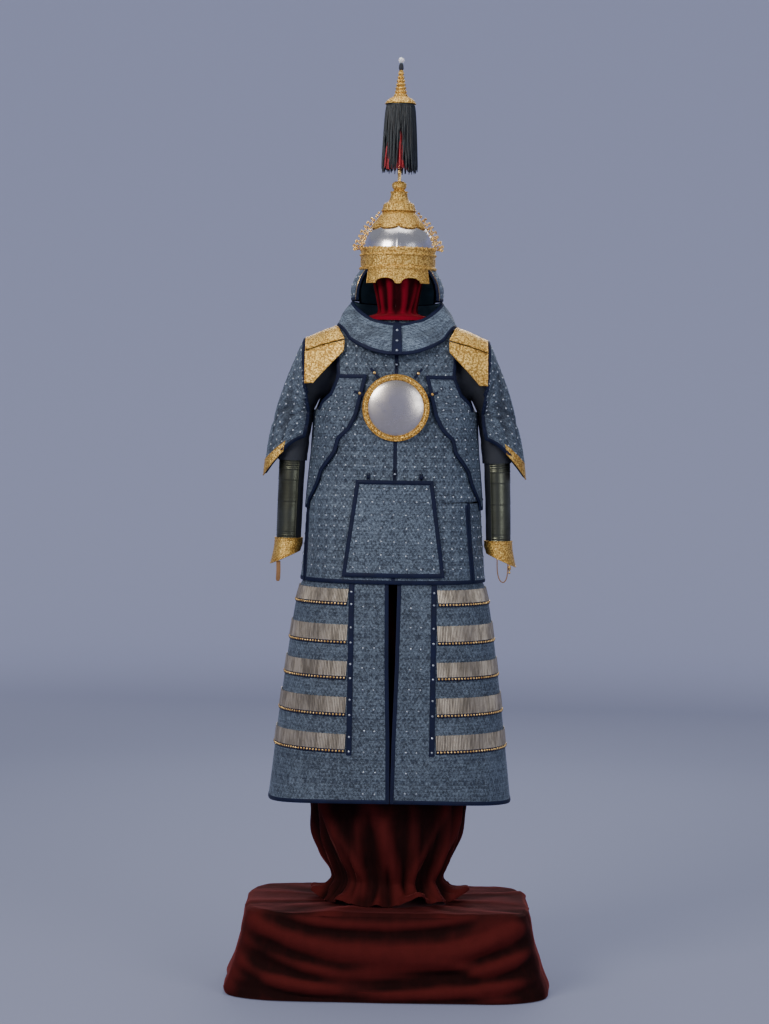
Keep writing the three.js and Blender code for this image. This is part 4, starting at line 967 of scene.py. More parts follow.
# Gathers below the armour: middle, drift from top to bottom, width (all in degrees), depth in millimetres
gathers = [
    (-78, 14, 7, 11), (-62, -10, 5, 9), (-49, 12, 6, 12), (-36, 20, 5, 9), (-24, -6, 6, 12), (-12, 9, 4.5, 9),
    (-2, -12, 6, 13), (9, 14, 5, 9), (20, 4, 5.5, 11), (33, -14, 5, 10), (44, 9, 6, 12), (58, -8, 5, 9),
    (71, 12, 6, 11), (86, -6, 6, 9), (101, 9, 7, 11), (118, -10, 6, 9), (134, 8, 7, 12), (151, -9, 6, 9),
    (166, 10, 7, 11), (182, -8, 6, 10), (197, 9, 7, 12), (214, -9, 6, 9), (230, 8, 7, 11), (247, -10, 6, 10),
    (263, 9, 6, 9),
]


def formPoint(turn, z):
    return bodyPoint(formSections, turn, max(z, 236.3))


def addFormVelvet():
    columns = 210
    heights = spread((238.5, 0), (262, 8), (330, 17), (560, 32), (1130, 8))
    points = [[formPoint(2 * math.pi * c / columns - math.pi, z) for c in range(columns + 1)] for z in heights]

    def relief(u, v, p):
        turn = math.atan2(p.x / 170, -p.y / 130) / degree
        fall = min(max((600 - p.z) / 330, 0), 1)
        total = 0.0
        for middle, drift, width, depth in gathers:
            sway = drift * math.sin((p.z - 250) / 95 + middle) * 0.8
            away = (turn - middle - sway + 180) % 360 - 180
            total += 1.5 * depth * math.exp(-((away / width) ** 2)) * (0.55 + 0.6 * fall)
        tie = math.exp(-(((p.z - 300) / 34) ** 2))
        ripple = 2.2 * math.sin(turn * 0.9 + p.z * 0.012) * fall
        puddle = math.exp(-(((p.z - 243) / 16) ** 2))
        total += puddle * (52 * noise.noise(Vector((turn * 0.045, 0.3, 1.7))) + 16)
        return total * (1 - 0.25 * tie) + ripple + 3.0 * noise.noise(p * 0.02) - 9.5

    grid = makeGrid(points, relief, ring=True)
    lower = addWall("form_velvet", grid, 0, 2.0, "velvet", (), 70, True)

    heads = spread((1851, 0), (1860, 6), (1872, 5), (1994, 26), (2030, 6), (2088, 10))
    neckSections = [(1851, 106, 84, 88, 2), (1860, 88, 82, 84, 2), (1866, 70, 68, 70, 2)] + headSections
    points = [[bodyPoint(neckSections, 2 * math.pi * c / 144 - math.pi, z) for c in range(145)] for z in heads]
    pleats = [(-68, 8, 6), (-44, 7, 8), (-19, 6, 9), (-2, 4, -5), (14, 7, 9), (38, 6, 6), (60, 8, 7), (90, 9, 4),
              (124, 9, 5), (160, 9, 4), (196, 9, 5), (232, 9, 5)]

    def hoodRelief(u, v, p):
        turn = math.atan2(p.x, -p.y) / degree
        belowRim = min(max((1986 - p.z) / 40, 0), 1)
        total = 0.0
        for middle, width, depth in pleats:
            away = (turn - middle - 3 * math.sin(p.z * 0.03 + middle) + 180) % 360 - 180
            total += depth * math.exp(-((away / width) ** 2))
        low = min(max((p.z - 1860) / 25, 0), 1)
        return (total * (0.12 + 0.88 * belowRim) * 0.8 - 5.5 * belowRim) * low + 0.8 * (1 - low) - 2.2 * (1 - belowRim)

    hoodGrid = makeGrid(points, hoodRelief, ring=True)
    hood = addWall("hood_velvet", hoodGrid, 0, 1.5, "hoodVelvet", (), 70, True)

    # Plain body of the form under both, and between them
    body = newBuild()
    sides = 72

    def ringAt(sections, z, distance):
        return [movedOut(lambda a, h: bodyPoint(sections, a, h), 2 * math.pi * k / sides, z, distance)
                for k in range(sides)]

    trunk = spread((238, 0), (262, 2), (302, 3), (409, 6), (504, 5), (1000, 12), (1275, 8), (1785, 14))
    rings = [ringAt(formSections, z, -13.5 if z < 1140 else -2.0) for z in trunk]
    rings += [ringAt(jacketSections, z, -form["rest"]) for z in (1800, 1820, 1838, 1850, 1857)]
    rings += [ringAt(headSections, z, -9.0) for z in (1872, 1910, 1950, 1994, 2030, 2062, 2086)]
    addRings(body, rings)
    makePiece("form_body", body, "formFelt", ("stand_form",), sharp=60)


addPlinthVelvet()
addFormVelvet()
print("stand done")


# Jacket

jacket = {
    "hem": 1128, "wall": 5, "slitTop": 1350, "armholeTop": 1790, "pitch": 28, "seamEdge": 5.2,
    "frontCut": (0.40, 0.80), "backCut": (0.78, 0.80), "flapCut": (0.36, 0.27), "sideFlapCut": (0.14, 0.23),
    "guardCut": (0.22, 0.38),
}
armholeFront = [(1600, 224), (1604, 210), (1624, 203), (1647, 180), (1691, 163), (1740, 166), (1776, 192),
                (1790, 210)]
slitFront = [(1128, 221, 244), (1265, 208, 240), (1350, 202, 238)]
backArmhole = [(1600, 90), (1606, 100), (1650, 116), (1691, 121), (1740, 116), (1776, 102), (1790, 90)]
backSlit = [(1128, 104, 72), (1350, 104, 88)]
besideSeam = 0.05 * degree


def frontSideAngle(z, side):
    if z < jacket["slitTop"]:
        return angleAcross(jacketSections, straightAt(slitFront, z, 1 if side == "left" else 2), z)
    if 1600 < z < jacket["armholeTop"]:
        return min(angleAcross(jacketSections, straightAt(armholeFront, z), z), 90 * degree - besideSeam)
    return 90 * degree - besideSeam


def backSideAngle(z, side):
    if z < jacket["slitTop"]:
        return straightAt(backSlit, z, 1 if side == "left" else 2) * degree
    if 1600 < z < jacket["armholeTop"]:
        return straightAt(backArmhole, z) * degree + besideSeam
    return 90 * degree + besideSeam


def jacketPoint(angle, z):
    return bodyPoint(jacketSections, angle, z)


def panelPoints(left, right, heights, columns, place):
    points = []
    for z in heights:
        start, end = left(z), right(z)
        points.append([place(start + (end - start) * c / columns, z) for c in range(columns + 1)])
    return points


jacketHeights = spread((1128, 0), (1348, 31), (1352, 1), (1598, 34), (1606, 2), (1774, 25), (1792, 4), (1820, 6),
                       (1838, 6), (1850, 5), (1858, 5))

# Creases in the jacket: start and end on the cloth from the edge's middle, depth, width
frontCreases = [
    (40, 300, 190, 262, 2.4, 16), (28, 345, 150, 372, 2.0, 13), (176, 400, 212, 250, 2.6, 14),
    (60, 120, 205, 96, 2.2, 18),
    (96, 40, 120, 210, 1.8, 15), (196, 30, 176, 190, -2.0, 16), (90, 470, 200, 430, 2.4, 15),
    (40, 560, 150, 610, 2.0, 14),
    (150, 150, 226, 300, -1.8, 17), (20, 200, 90, 214, 1.4, 12), (120, 640, 190, 690, 1.8, 12),
]
backCreases = [
    (-180, 300, -20, 270, 2.6, 18), (30, 310, 200, 350, 2.2, 16), (-230, 120, -120, 60, 2.4, 17),
    (60, 60, 110, 220, 2.0, 18),
    (-60, 40, -88, 240, 1.8, 16), (150, 90, 240, 150, -2.0, 18), (-210, 430, -120, 540, 2.4, 17),
    (120, 520, 220, 430, 2.4, 16),
    (-150, 640, -70, 690, 1.8, 14), (80, 690, 170, 640, 1.8, 14), (-20, 420, 10, 560, 1.4, 15),
    (-280, 60, -250, 220, 2.0, 14),
]


# Padding swells between the studs and sinks under them
def quilted(pitchAcross, pitchUp, swell, troughs, slack=2.2, seed=0.0, sense=1):
    def relief(u, v, p):
        puff = abs(math.sin(math.pi * u / pitchAcross)) ** 0.6 * abs(math.sin(math.pi * v / pitchUp)) ** 0.6
        wave = noise.noise(Vector((p.x * 0.009 + seed, p.y * 0.009, p.z * 0.006)))
        return swell * (puff - 0.55) + troughDepth(troughs, u * sense, v) + slack * wave
    return relief


# The sense is 1 where the closing edge is the left one, -1 where it is the right one, and 0 on the back
def jacketPanel(name, left, right, columns, troughs, sense, cut):
    points = panelPoints(left, right, jacketHeights, columns, jacketPoint)
    centre = {1: 0.0, -1: 1.0, 0: 0.5}[sense]
    relief = quilted(jacket["pitch"], jacket["pitch"], 0.9, troughs, seed=sense * 3.1, sense=sense or 1)

    def held(u, v, p):
        return relief(u, v, p) * min(max((1846 - p.z) / 40, 0), 1) - 0.6

    grid = makeGrid(points, held, centre)
    cloth = addWall(f"{name}_cloth", grid, -jacket["wall"], jacket["wall"], "jacket", (name,))
    widths = {"left": binding["width"], "bottom": binding["width"], "right": binding["width"]}
    if sense:
        widths["left" if sense > 0 else "right"] = jacket["seamEdge"]
    trim = addTrim(name, grid, widths, -jacket["wall"], jacket["wall"])
    bare = lambda p, u, v: p.z < 1796 and not (p.y < 0 and math.hypot(p.x, p.z - 1608) < 100)
    caps = addCaps(name, latticePlaces(grid, jacket["pitch"], jacket["pitch"], 14, (0, 14), bare), 0)


def addJacket():
    edge = lambda z: angleAcross(jacketSections, 0.2, z)
    jacketPanel("jacket_front_left", edge, lambda z: frontSideAngle(z, "left"), 46, frontCreases, 1,
                jacket["frontCut"])
    jacketPanel("jacket_front_right", lambda z: -frontSideAngle(z, "right"), lambda z: -edge(z), 46, frontCreases, -1,
                jacket["frontCut"])
    jacketPanel("jacket_back", lambda z: backSideAngle(z, "left"), lambda z: 2 * math.pi - backSideAngle(z, "right"),
                96, backCreases, 0, jacket["backCut"])


guardInner = [(1328, 234), (1345, 232), (1396, 208), (1432, 198), (1485, 161), (1520, 153), (1545, 126), (1585, 106),
              (1626, 96), (1697, 80)]


def addGuard(hand, side):
    def place(angle, z):
        point = jacketPoint(angle, z)
        point.x *= side
        return point

    def outer(z):
        if z > 1600:
            return angleAcross(jacketSections, straightAt(armholeFront, z) - 2, z)
        return 84 * degree

    heights = spread((1328, 0), (1345, 4), (1697, 56))
    inner = lambda z: angleAcross(jacketSections, straightAt(guardInner, z), z)
    points = panelPoints(inner, outer, heights, 20, place)
    if side < 0:
        points = [list(reversed(row)) for row in points]
    pitch, lift, wall = jacket["pitch"], 2.8, 3.6
    creases = [(10, 150, 60, 260, 1.6, 12), (20, 60, 40, 150, -1.4, 12)]
    grid = makeGrid(points, quilted(pitch, pitch, 0.7, creases, 1.4, 5.0), 1.0 if side > 0 else 0.0)
    name = f"armpit_guard_{hand}"
    cloth = addWall(f"{name}_cloth", grid, lift, wall, "jacket", (name,))
    trim = addTrim(name, grid, allRound(binding["width"]), lift, wall)
    caps = addCaps(name, latticePlaces(grid, pitch, pitch, 14), lift + wall)


frontFlap = {"low": 1146, "high": 1408, "wideLow": 138, "wideHigh": 104, "lift": 1.6, "wall": 4, "studs": 7}


def addFrontFlap():
    span = [(frontFlap["low"], frontFlap["wideLow"]), (frontFlap["high"], frontFlap["wideHigh"])]
    edge = lambda z: angleAcross(jacketSections, straightAt(span, z), z)
    heights = spread((frontFlap["low"], 0), (frontFlap["high"], 40))
    points = panelPoints(lambda z: -edge(z), edge, heights, 40, jacketPoint)
    creases = [(-60, 60, -40, 220, 1.5, 14), (50, 90, 70, 200, -1.2, 13), (-90, 30, 60, 44, 1.2, 12)]
    grid = makeGrid(points, quilted(33, 36, 0.8, creases, 1.2, 9.0))
    lift, wall = frontFlap["lift"], frontFlap["wall"]
    cloth = addWall("front_flap_cloth", grid, lift, wall, "flap", ("front_flap",))
    trim = addTrim("front_flap", grid, allRound(11), lift, wall)
    places = []
    for row in range(frontFlap["studs"]):
        v = grid["along"][-1] * (row + 0.62) / (frontFlap["studs"] + 0.24)
        lengths = grid["across"][bisect_right(grid["along"], v)]
        for column in range(frontFlap["studs"]):
            share = (column + 0.72) / (frontFlap["studs"] + 0.44)
            places.append(gridAt(grid, lengths[0] + (lengths[-1] - lengths[0]) * share, v))
    caps = addCaps("front_flap", places, lift + wall)


def addSideFlap():
    left = lambda z: frontSideAngle(max(z, jacket["hem"]), "left") + 0.6 * degree
    right = lambda z: backSideAngle(z, "left") - 0.6 * degree
    points = panelPoints(left, right, spread((jacket["hem"], 0), (1347, 34)), 18, jacketPoint)
    pitch, wall = jacket["pitch"], jacket["wall"]
    creases = [(-20, 20, 0, 180, 2.0, 12), (20, 60, 34, 200, -1.6, 12)]
    grid = makeGrid(points, quilted(pitch, pitch, 0.8, creases, 1.4, 2.0))
    cloth = addWall("side_flap_cloth", grid, -wall, wall, "jacket", ("side_flap",))
    trim = addTrim("side_flap", grid, hanging(8), -wall, wall)
    caps = addCaps("side_flap", latticePlaces(grid, pitch, pitch, 13, (0, 14)), 0)


addJacket()
addGuard("left", 1)
addGuard("right", -1)
addFrontFlap()
addSideFlap()
print("jacket done")


# Skirt: two panels with a studded strip and five bands of steel strips each

skirt = {
    "hemFront": 537, "hemSide": 518, "wall": 5, "stripFrom": 105, "stripTo": 120, "stripFoot": 664,
    "stripTop": 1125, "cut": (0.98, 0.78), "slat": 4.6, "rail": 11, "bead": 9.6,
}
frontOpening = [(510, 1.5), (700, 4), (900, 10), (1118, 13)]
steelBands = [(1066, 1111), (962, 1015), (866, 916), (767, 820), (669, 720)]
skirtCreases = [
    (40, 40, 60, 300, 1.8, 18), (180, 20, 150, 330, 2.6, 22), (300, 10, 290, 240, -2.4, 20),
    (430, 20, 380, 300, 3.4, 24),
    (560, 10, 520, 260, -2.6, 24), (690, 30, 640, 340, 3.0, 22), (820, 20, 790, 300, 2.2, 20),
    (240, 60, 252, 160, 1.8, 16),
    (95, 60, 110, 130, -1.4, 14), (500, 90, 470, 240, 2.0, 16), (745, 40, 730, 150, -1.8, 16),
]


def skirtPoint(angle, z):
    return bodyPoint(skirtSections, angle, z)


def hemHeight(angle, z):
    share = max(0.0, 1 - (z - skirt["hemSide"]) / 110)
    return z + (skirt["hemFront"] - skirt["hemSide"]) * math.cos(angle) ** 2 * share


def addSkirt(hand, side):
    start = lambda z: angleAcross(skirtSections, straightAt(frontOpening, z), z)
    end = lambda z: math.pi - angleAcross(skirtSections, 4, z)
    heights = spread((518, 0), (1130, 76), (1262, 12))
    points = []
    for z in heights:
        row = []
        for c in range(105):
            angle = start(z) + (end(z) - start(z)) * c / 104
            point = skirtPoint(angle, hemHeight(angle, z))
            point.x *= side
            row.append(point)
        points.append(row if side > 0 else list(reversed(row)))
    puff = quilted(30, 56, 0.5, skirtCreases, 2.4, 11.0 * side, side)

    # The strips lie smooth, so the cloth under them keeps still, and so does the hidden top
    def relief(u, v, p):
        still = min(max((1100 - p.z) / 60, 0), 1) * min(max(abs(p.x) / 30, 0.3), 1)
        return puff(u, v, p) * still * min(max((700 - p.z) / 60, 0.35), 1) - 0.5

    grid = makeGrid(points, relief, 0.0 if side > 0 else 1.0)
    cloth = addWall(f"skirt_{hand}_cloth", grid, -skirt["wall"], skirt["wall"], "skirt", (f"skirt_{hand}",))
    backEdge = "right" if side > 0 else "left"
    trim = addTrim(f"skirt_{hand}", grid, {**hanging(10), backEdge: 8}, -skirt["wall"], skirt["wall"])

    # Upright strip beside the bands, front and back
    def onCloth(x, z, behind):
        angle = angleAcross(skirtSections, x, z)
        if behind:
            angle = math.pi - angle
        return angle

    middle = (skirt["stripFrom"] + skirt["stripTo"]) / 2
    half = (skirt["stripTo"] - skirt["stripFrom"]) / 2

    def onStrip(z, behind):
        angle = onCloth(middle, z, behind)
        point = skirtPoint(angle, hemHeight(angle, z))
        normal = (movedOut(skirtPoint, angle, z, 1) - skirtPoint(angle, z)).normalized()
        point.x *= side
        normal.x *= side
        return point, normal

    stripBuild = newBuild()
    headBuild = newBuild()
    for behind in (False, True):
        frames = []
        for z in spread((skirt["stripFoot"], 0), (skirt["stripTop"], 44)):
            point, normal = onStrip(z, behind)
            frames.append((point, Vector((0, 0, 1)).cross(normal).normalized(), normal))
        addSweep(stripBuild, frames, [(-half, -2.5), (-half, 1.2), (-half + 1.5, 2.1), (half - 1.5, 2.1),
                                      (half, 1.2), (half, -2.5)])
        for low, high in steelBands:
            for z in (low + 5, high - 7):
                point, normal = onStrip(z, behind)
                addDome(headBuild, point + normal * 2.0, normal, 3.4, 2.3, 8)
    strip = makePiece(f"skirt_{hand}_strip", stripBuild, "binding")

    edgeOnly = lambda p, u, v: p.z < 1120 and p.z > 560 and abs(p.x) < 96
    addStuds(headBuild, latticePlaces(grid, 30, 56, 14, (side * 9, 26), edgeOnly), 0)
    caps = makePiece(f"skirt_{hand}_studs", headBuild, "stud")
    addSteelBands(hand, side)


def addSteelBands(hand, side):
    for index, (low, high) in enumerate(steelBands):
        slats, rail, beads = newBuild(), newBuild(), newBuild()
        z = (low + high) / 2
        begin = angleAcross(skirtSections, skirt["stripTo"] + 3, z)
        finish = math.pi - begin
        lengths = [0.0]
        turns = [begin + (finish - begin) * k / 200 for k in range(201)]
        line = [skirtPoint(turn, z) for turn in turns]
        for a, b in zip(line, line[1:]):
            lengths.append(lengths[-1] + (b - a).length)

        def turnAt(length):
            k = min(bisect_right(lengths, length) - 1, 199)
            return turns[k] + (turns[k + 1] - turns[k]) * (length - lengths[k]) / (lengths[k + 1] - lengths[k])

        def frameAt(turn, height):
            point = skirtPoint(turn, height)
            normal = (movedOut(skirtPoint, turn, height, 1) - point).normalized()
            point.x *= side
            normal.x *= side
            return point, Vector((0, 0, 1)).cross(normal).normalized(), normal

        count = round(lengths[-1] / skirt["slat"])
        width = lengths[-1] / count
        for k in range(count):
            turn = turnAt(width * (k + 0.5))
            half = width * 0.5 - 0.45
            uneven = 0.5 * math.sin(k * 2.3 + index)
            frames = [frameAt(turn, height) for height in (low + skirt["rail"] - 0.5, high + uneven)]
            addSweep(slats, frames, [(-half, 0.9), (-half, 2.1), (-half * 0.45, 2.8), (half * 0.45, 2.8),
                                     (half, 2.1), (half, 0.9)])
        frames = [frameAt(turn, low + skirt["rail"] / 2) for turn in turns[::2]]
        halfRail = skirt["rail"] / 2
        addSweep(rail, [(p, n.cross(s), n) for p, s, n in frames],
                 [(-halfRail, 0.8), (-halfRail, 1.6), (-halfRail + 1, 2.2), (halfRail - 1, 2.2), (halfRail, 1.6),
                  (halfRail, 0.8)])
        beadCount = round(lengths[-1] / skirt["bead"])
        for k in range(beadCount):
            point, _, normal = frameAt(turnAt(lengths[-1] * (k + 0.5) / beadCount), low + skirt["rail"] / 2)
            addDome(beads, point + normal * 2.0, normal, 3.3, 2.4, 8)
        makePiece(f"skirt_{hand}_slats_{index + 1}", slats, "strips", (f"skirt_band_{hand}_{index + 1}",), sharp=30)
        makePiece(f"skirt_{hand}_rail_{index + 1}", rail, "binding")
        makePiece(f"skirt_{hand}_beads_{index + 1}", beads, "plainGilt")


def addWaistband():
    points = [[movedOut(lambda a, h: bodyPoint(formSections, a, h), 2 * math.pi * c / 120 - math.pi, z, 0.6)
               for c in range(121)] for z in spread((1225, 0), (1275, 8))]
    grid = makeGrid(points, ring=True)
    build = newBuild()
    addShell(build, grid, 0, 2.8)
    band = makePiece("skirt_waistband_cloth", build, "binding", ("skirt_waistband",))


addSkirt("left", 1)
addSkirt("right", -1)
addWaistband()
print("skirt done")


# Gorget: a flared collar that closes at the front under a satin strip with three buttons

gorget = {
    "upper": {"halfWidth": 122, "front": 96, "back": 112, "frontZ": 1834, "sideZ": 1903, "backZ": 1898, "clear": 20},
    "lower": {"halfWidth": 164, "front": 151, "back": 150, "frontZ": 1753, "sideZ": 1829, "backZ": 1800,
              "clear": 5.4},
    "wall": 4, "bulge": 7, "placket": 5, "buttons": (12, 44, 78), "cut": (0.92, 0.16),
}


def shoulderHeight(x, y):
    low, high = 1700.0, 1858.0

    def outside(z):
        square = smoothAt(jacketSections, z, 4)
        across = abs(x) / smoothAt(jacketSections, z, 1)
        along = abs(y) / smoothAt(jacketSections, z, 2 if y < 0 else 3)
        return across**square + along**square > 1

    if outside(low):
        return low
    for _ in range(20):
        middle = (low + high) / 2
        low, high = (low, middle) if outside(middle) else (middle, high)
    return low


def gorgetEdge(line, angle):
    along = math.cos(angle)
    if along >= 0:
        depth, height = line["front"], line["sideZ"] + (line["frontZ"] - line["sideZ"]) * along**1.6
    else:
        depth, height = line["back"], line["sideZ"] + (line["backZ"] - line["sideZ"]) * (-along) ** 1.3
    x, y = line["halfWidth"] * math.sin(angle), -depth * along
    return Vector((x, y, max(height, shoulderHeight(x, y) + line["clear"])))


def gorgetPoint(angle, share):
    bulge = gorget["bulge"] * math.sin(math.pi * min(max(share, 0), 1))
    place = gorgetEdge(gorget["lower"], angle).lerp(gorgetEdge(gorget["upper"], angle), share)
    return place + Vector((bulge * math.sin(angle), -bulge * math.cos(angle), 0))


def addGorget():
    columns = 150
    opening = 0.25 * degree
    points = []
    for share in spread((0.0, 0), (1.0, 16)):
        points.append([gorgetPoint(opening + (2 * math.pi - 2 * opening) * c / columns,
                                   share) for c in range(columns + 1)])
    length = 450
    creases = [
        (-length + 40, 24, -length + 150, 40, 1.8, 9), (-length + 30, 52, -length + 170, 66, 1.5, 8),
        (-length + 200, 10, -length + 215, 70, 1.4, 12), (length - 60, 20, length - 150, 34, 1.3, 9),
        (length - 40, 60, length - 140, 70, 1.4, 9), (length - 210, 14, length - 190, 80, 1.6, 13),
        (-120, 14, -90, 86, 1.8, 14), (70, 12, 96, 84, 1.8, 14), (-20, 20, 6, 80, 1.2, 12),
    ]
    grid = makeGrid(points, lambda u, v, p: troughDepth(creases, u, v) + 1.2 * noise.noise(p * 0.022) - 0.4)
    cloth = addWall("gorget_cloth", grid, 0, gorget["wall"], "gorget", ("gorget",), 50, True)
    inside = addWall("gorget_lining", grid, -0.9, 0.7, "lining")
    trim = addTrim("gorget", grid, allRound(9), 0, gorget["wall"])
    half = gorget["placket"] * degree
    points = [[gorgetPoint(-half + 2 * half * c / 8, share) for c in range(9)] for share in spread((-0.01, 0),
                                                                                                   (1.01, 14))]
    strip = makeGrid(points)
    placketBuild = newBuild()
    addShell(placketBuild, strip, gorget["wall"] + 1.6, 2)
    addSquareStitches(placketBuild, strip, gorget["wall"] + 3.5)
    placket = makePiece("gorget_placket_cloth", placketBuild, "binding", ("gorget_placket",))
    buttons = newBuild()
    for share in gorget["buttons"]:
        at = gorgetPoint(0, share / 100)
        outward = Vector((0, -1, 0.25)).normalized()
        addDome(buttons, at + outward * (gorget["wall"] + 3.2), outward, 4.4, 5.0, 12)
    makePiece("gorget_buttons", buttons, "stud")


# Short raised stitches along the sides of a strip
def addSquareStitches(build, grid, lift):
    for side in ("left", "right"):
        line = borderOf(grid, side)
        for index in range(len(line) - 1):
            point, inner, normal = line[index]
            inward = (inner - point).normalized()
            for part in (0.15, 0.55):
                at = point.lerp(line[index + 1][0], part) + inward * 2.2 + normal * lift
                run = (line[index + 1][0] - point).normalized()
                addTube(build, [at, at + run * 1.1, at + run * 2.2], [0.25, 0.4, 0.25], 4)


addGorget()
print("gorget done")


# Chest mirror: polished dome in a rim of chased petals, tied to the guards

mirror = {"height": 1608, "glass": 76.5, "rim": 92.5, "petals": 40}


def addMirror():
    chest = -max(smoothAt(jacketSections, z, 2) for z in (1520, 1560, 1608, 1650, 1695)) - 0.9
    disc = rounded([(0.3, 18.5), (30, 17), (50, 14), (66, 10), (74, 6.6), (mirror["glass"], 4.8),
                    (mirror["glass"], 0.6),
                    (0.3, 0.4)], 4)
    build = newBuild()
    addFacing(build, disc, 96, chest, mirror["height"])
    makePiece("mirror_dome", build, "mirror", ("chest_mirror",))
    inner = mirror["glass"] + 0.4
    profile = rounded([(inner, 0.3), (inner, 4.6), (inner + 1.6, 7.2), (inner + 3.2, 5.6), (inner + 7, 7.6),
                       (inner + 10, 7.2),
                       (inner + 12.4, 5.0), (mirror["rim"] - 1.6, 6.4), (mirror["rim"], 3.4), (mirror["rim"], 0.3)],
                       3)

    def petals(turn, depth):
        wave = abs(math.sin(mirror["petals"] * turn / 2))
        return 1.5 * (wave**0.7 - 0.5) if depth > 4.4 else 0

    build = newBuild()
    addFacing(build, profile, 320, chest, mirror["height"], petals)
    makePiece("mirror_rim_gilt", build, "giltFine", ("chest_mirror_rim",), sharp=40)

    ties = newBuild()
    buckles = newBuild()
    for side in (-1, 1):
        for foot, top, along in ((84, 1640, 0), (50, 1690, 1)):
            start = Vector((side * foot, chest - 2.5, top))
            away = Vector((side * (0.93 if not along else 0.62), 0, 0.36 if not along else 0.78)).normalized()
            frames = []
            for step in range(9):
                at = start + away * (4.2 * step)
                at.y = -smoothAt(jacketSections, at.z, 2) * (1 - (abs(at.x) / 223) ** 2.3) ** (1 / 2.3) - 7.6
                frames.append((at, away.cross(Vector((0, -1, 0))), Vector((0, -1, 0))))
            addSweep(ties, frames, [(-3.6, -0.7), (-3.6, 0.7), (3.6, 0.7), (3.6, -0.7)])
            addDome(buckles, frames[4][0] + Vector((0, -0.7, 0)), Vector((0, -1, 0)), 4.4, 2.6, 10)
    makePiece("mirror_ties", ties, "binding")
    makePiece("mirror_tie_bosses", buckles, "plainGilt")


# Turned form that faces forward: profile of radius and depth in front of a plane
def addFacing(build, profile, segments, plane, height, relief=None):
    first = len(build["vertices"])
    for radius, depth in profile:
        for k in range(segments):
            turn = 2 * math.pi * k / segments
            rise = relief(turn, depth) if relief else 0
            build["vertices"].append(Vector((radius * math.sin(turn), plane - depth - rise,
                                             height + radius * math.cos(turn))))
    for row in range(len(profile) - 1):
        for k in range(segments):
            after = (k + 1) % segments
            addFace(build, [first + row * segments + k, first + row * segments + after,
                            first + (row + 1) * segments + after, first + (row + 1) * segments + k])
    if profile[0][0] < 1:
        addFace(build, [first + k for k in range(segments)])
        addFace(build, [first + (len(profile) - 1) * segments + k for k in reversed(range(segments))])
    else:
        for k in range(segments):
            after = (k + 1) % segments
            addFace(build, [first + (len(profile) - 1) * segments + k, first + (len(profile) - 1) * segments + after,
                            first + after, first + k])


addMirror()


# Button and loops down the middle of the front

def frontSurface(x, z, lift):
    angle = angleAcross(jacketSections, x, z)
    return movedOut(jacketPoint, angle, z, lift)


def addFastenings():
    cloth, metal = newBuild(), newBuild()
    for x, z, length in ((0, 1426, 26), (-72, 1417, 22), (72, 1417, 22), (0, 1726, 20)):
        for offset in (-3.4, 3.4):
            points = [frontSurface(x + offset, z + length * (0.5 - step / 8), 2.0) for step in range(9)]
            addTube(cloth, points, 1.5, 6)
        knot = frontSurface(x, z, 3.5)
        addDome(metal if x == 0 else cloth, knot, Vector((0, -1, 0)), 3.8, 4.4, 10)
        for turn in range(3):
            ring = [knot + Vector((3.6 * math.cos(a * math.pi / 6), 0.4 * turn,
                                   3.6 * math.sin(a * math.pi / 6))) for a in range(12)]
            addTube(cloth, ring, 0.9, 5, ring=True)
    makePiece("front_loops", cloth, "binding")
    makePiece("front_buttons", metal, "stud")


addFastenings()
print("mirror done")


# Shoulders: chased plates over each joint and a studded wing below them

shoulderArch = [(142, 1843, 122, 134), (200, 1823, 108, 120), (256, 1798, 86, 94)]
archFoot = 1655
archInner = [(0, 171), (31, 156), (46, 144), (60, 146), (86, 229)]
shoulder = {"outer": 253.4, "thick": 2.5, "wingCut": (0.40, 0.30)}
wingHem = {"inner": 242, "outer": 361, "depth": 64, "high": 1524, "low": 1420}


def archPoint(across, turn, grow=0.0):
    top = straightAt(shoulderArch, across, 1) + grow
    depth = straightAt(shoulderArch, across, 2 if turn < 0 else 3) + grow
    rise = math.cos(turn) ** 0.8
    reach = signedPower(math.sin(turn), 0.8)
    return Vector((across, depth * reach, archFoot + (top - archFoot) * rise))


def addShoulderPlates(hand, side):
    for part, begin, finish, steps in (("top", -45.3, 45.3, 44), ("front", -86, -47.2, 26), ("back", 47.2, 86, 26)):
        points = []
        for step in range(steps + 1):
            turn = begin + (finish - begin) * step / steps
            inner = straightAt(archInner, abs(turn))
            row = []
            for k in range(25):
                point = archPoint(inner + (shoulder["outer"] - inner) * k / 24, turn * degree, 0)
                point.x *= side
                row.append(point)
            points.append(row)
        grid = makeGrid(points, sense=side)
        build = newBuild()
        addShell(build, grid, 0.1, shoulder["thick"] - 0.7)
        for column in (8, 15, 20):
            ridge = [row[column] + lean[column] * (shoulder["thick"] - 0.9)
                     for row, lean in zip(grid["points"], grid["normals"])]
            addTube(build, ridge[1:-1], 0.9, 6)
        for border in ("left", "right", "top", "bottom"):
            line = borderOf(grid, border)
            frames = []
            for point, inward, normal in line:
                aim = (inward - point).normalized()
                frames.append(point + aim * 2.0 + normal * (shoulder["thick"] - 0.6))
            addTube(build, frames, 1.5, 6)
            second = [point + (inward - point).normalized() * 6.5 + normal * (shoulder["thick"] - 0.9)
                      for point, inward, normal in line]
            addTube(build, second[1:-1], 0.7, 5)
        makePiece(f"shoulder_{part}_{hand}", build, "giltPlate", (f"shoulder_plate_{part}_{hand}",), sharp=40)


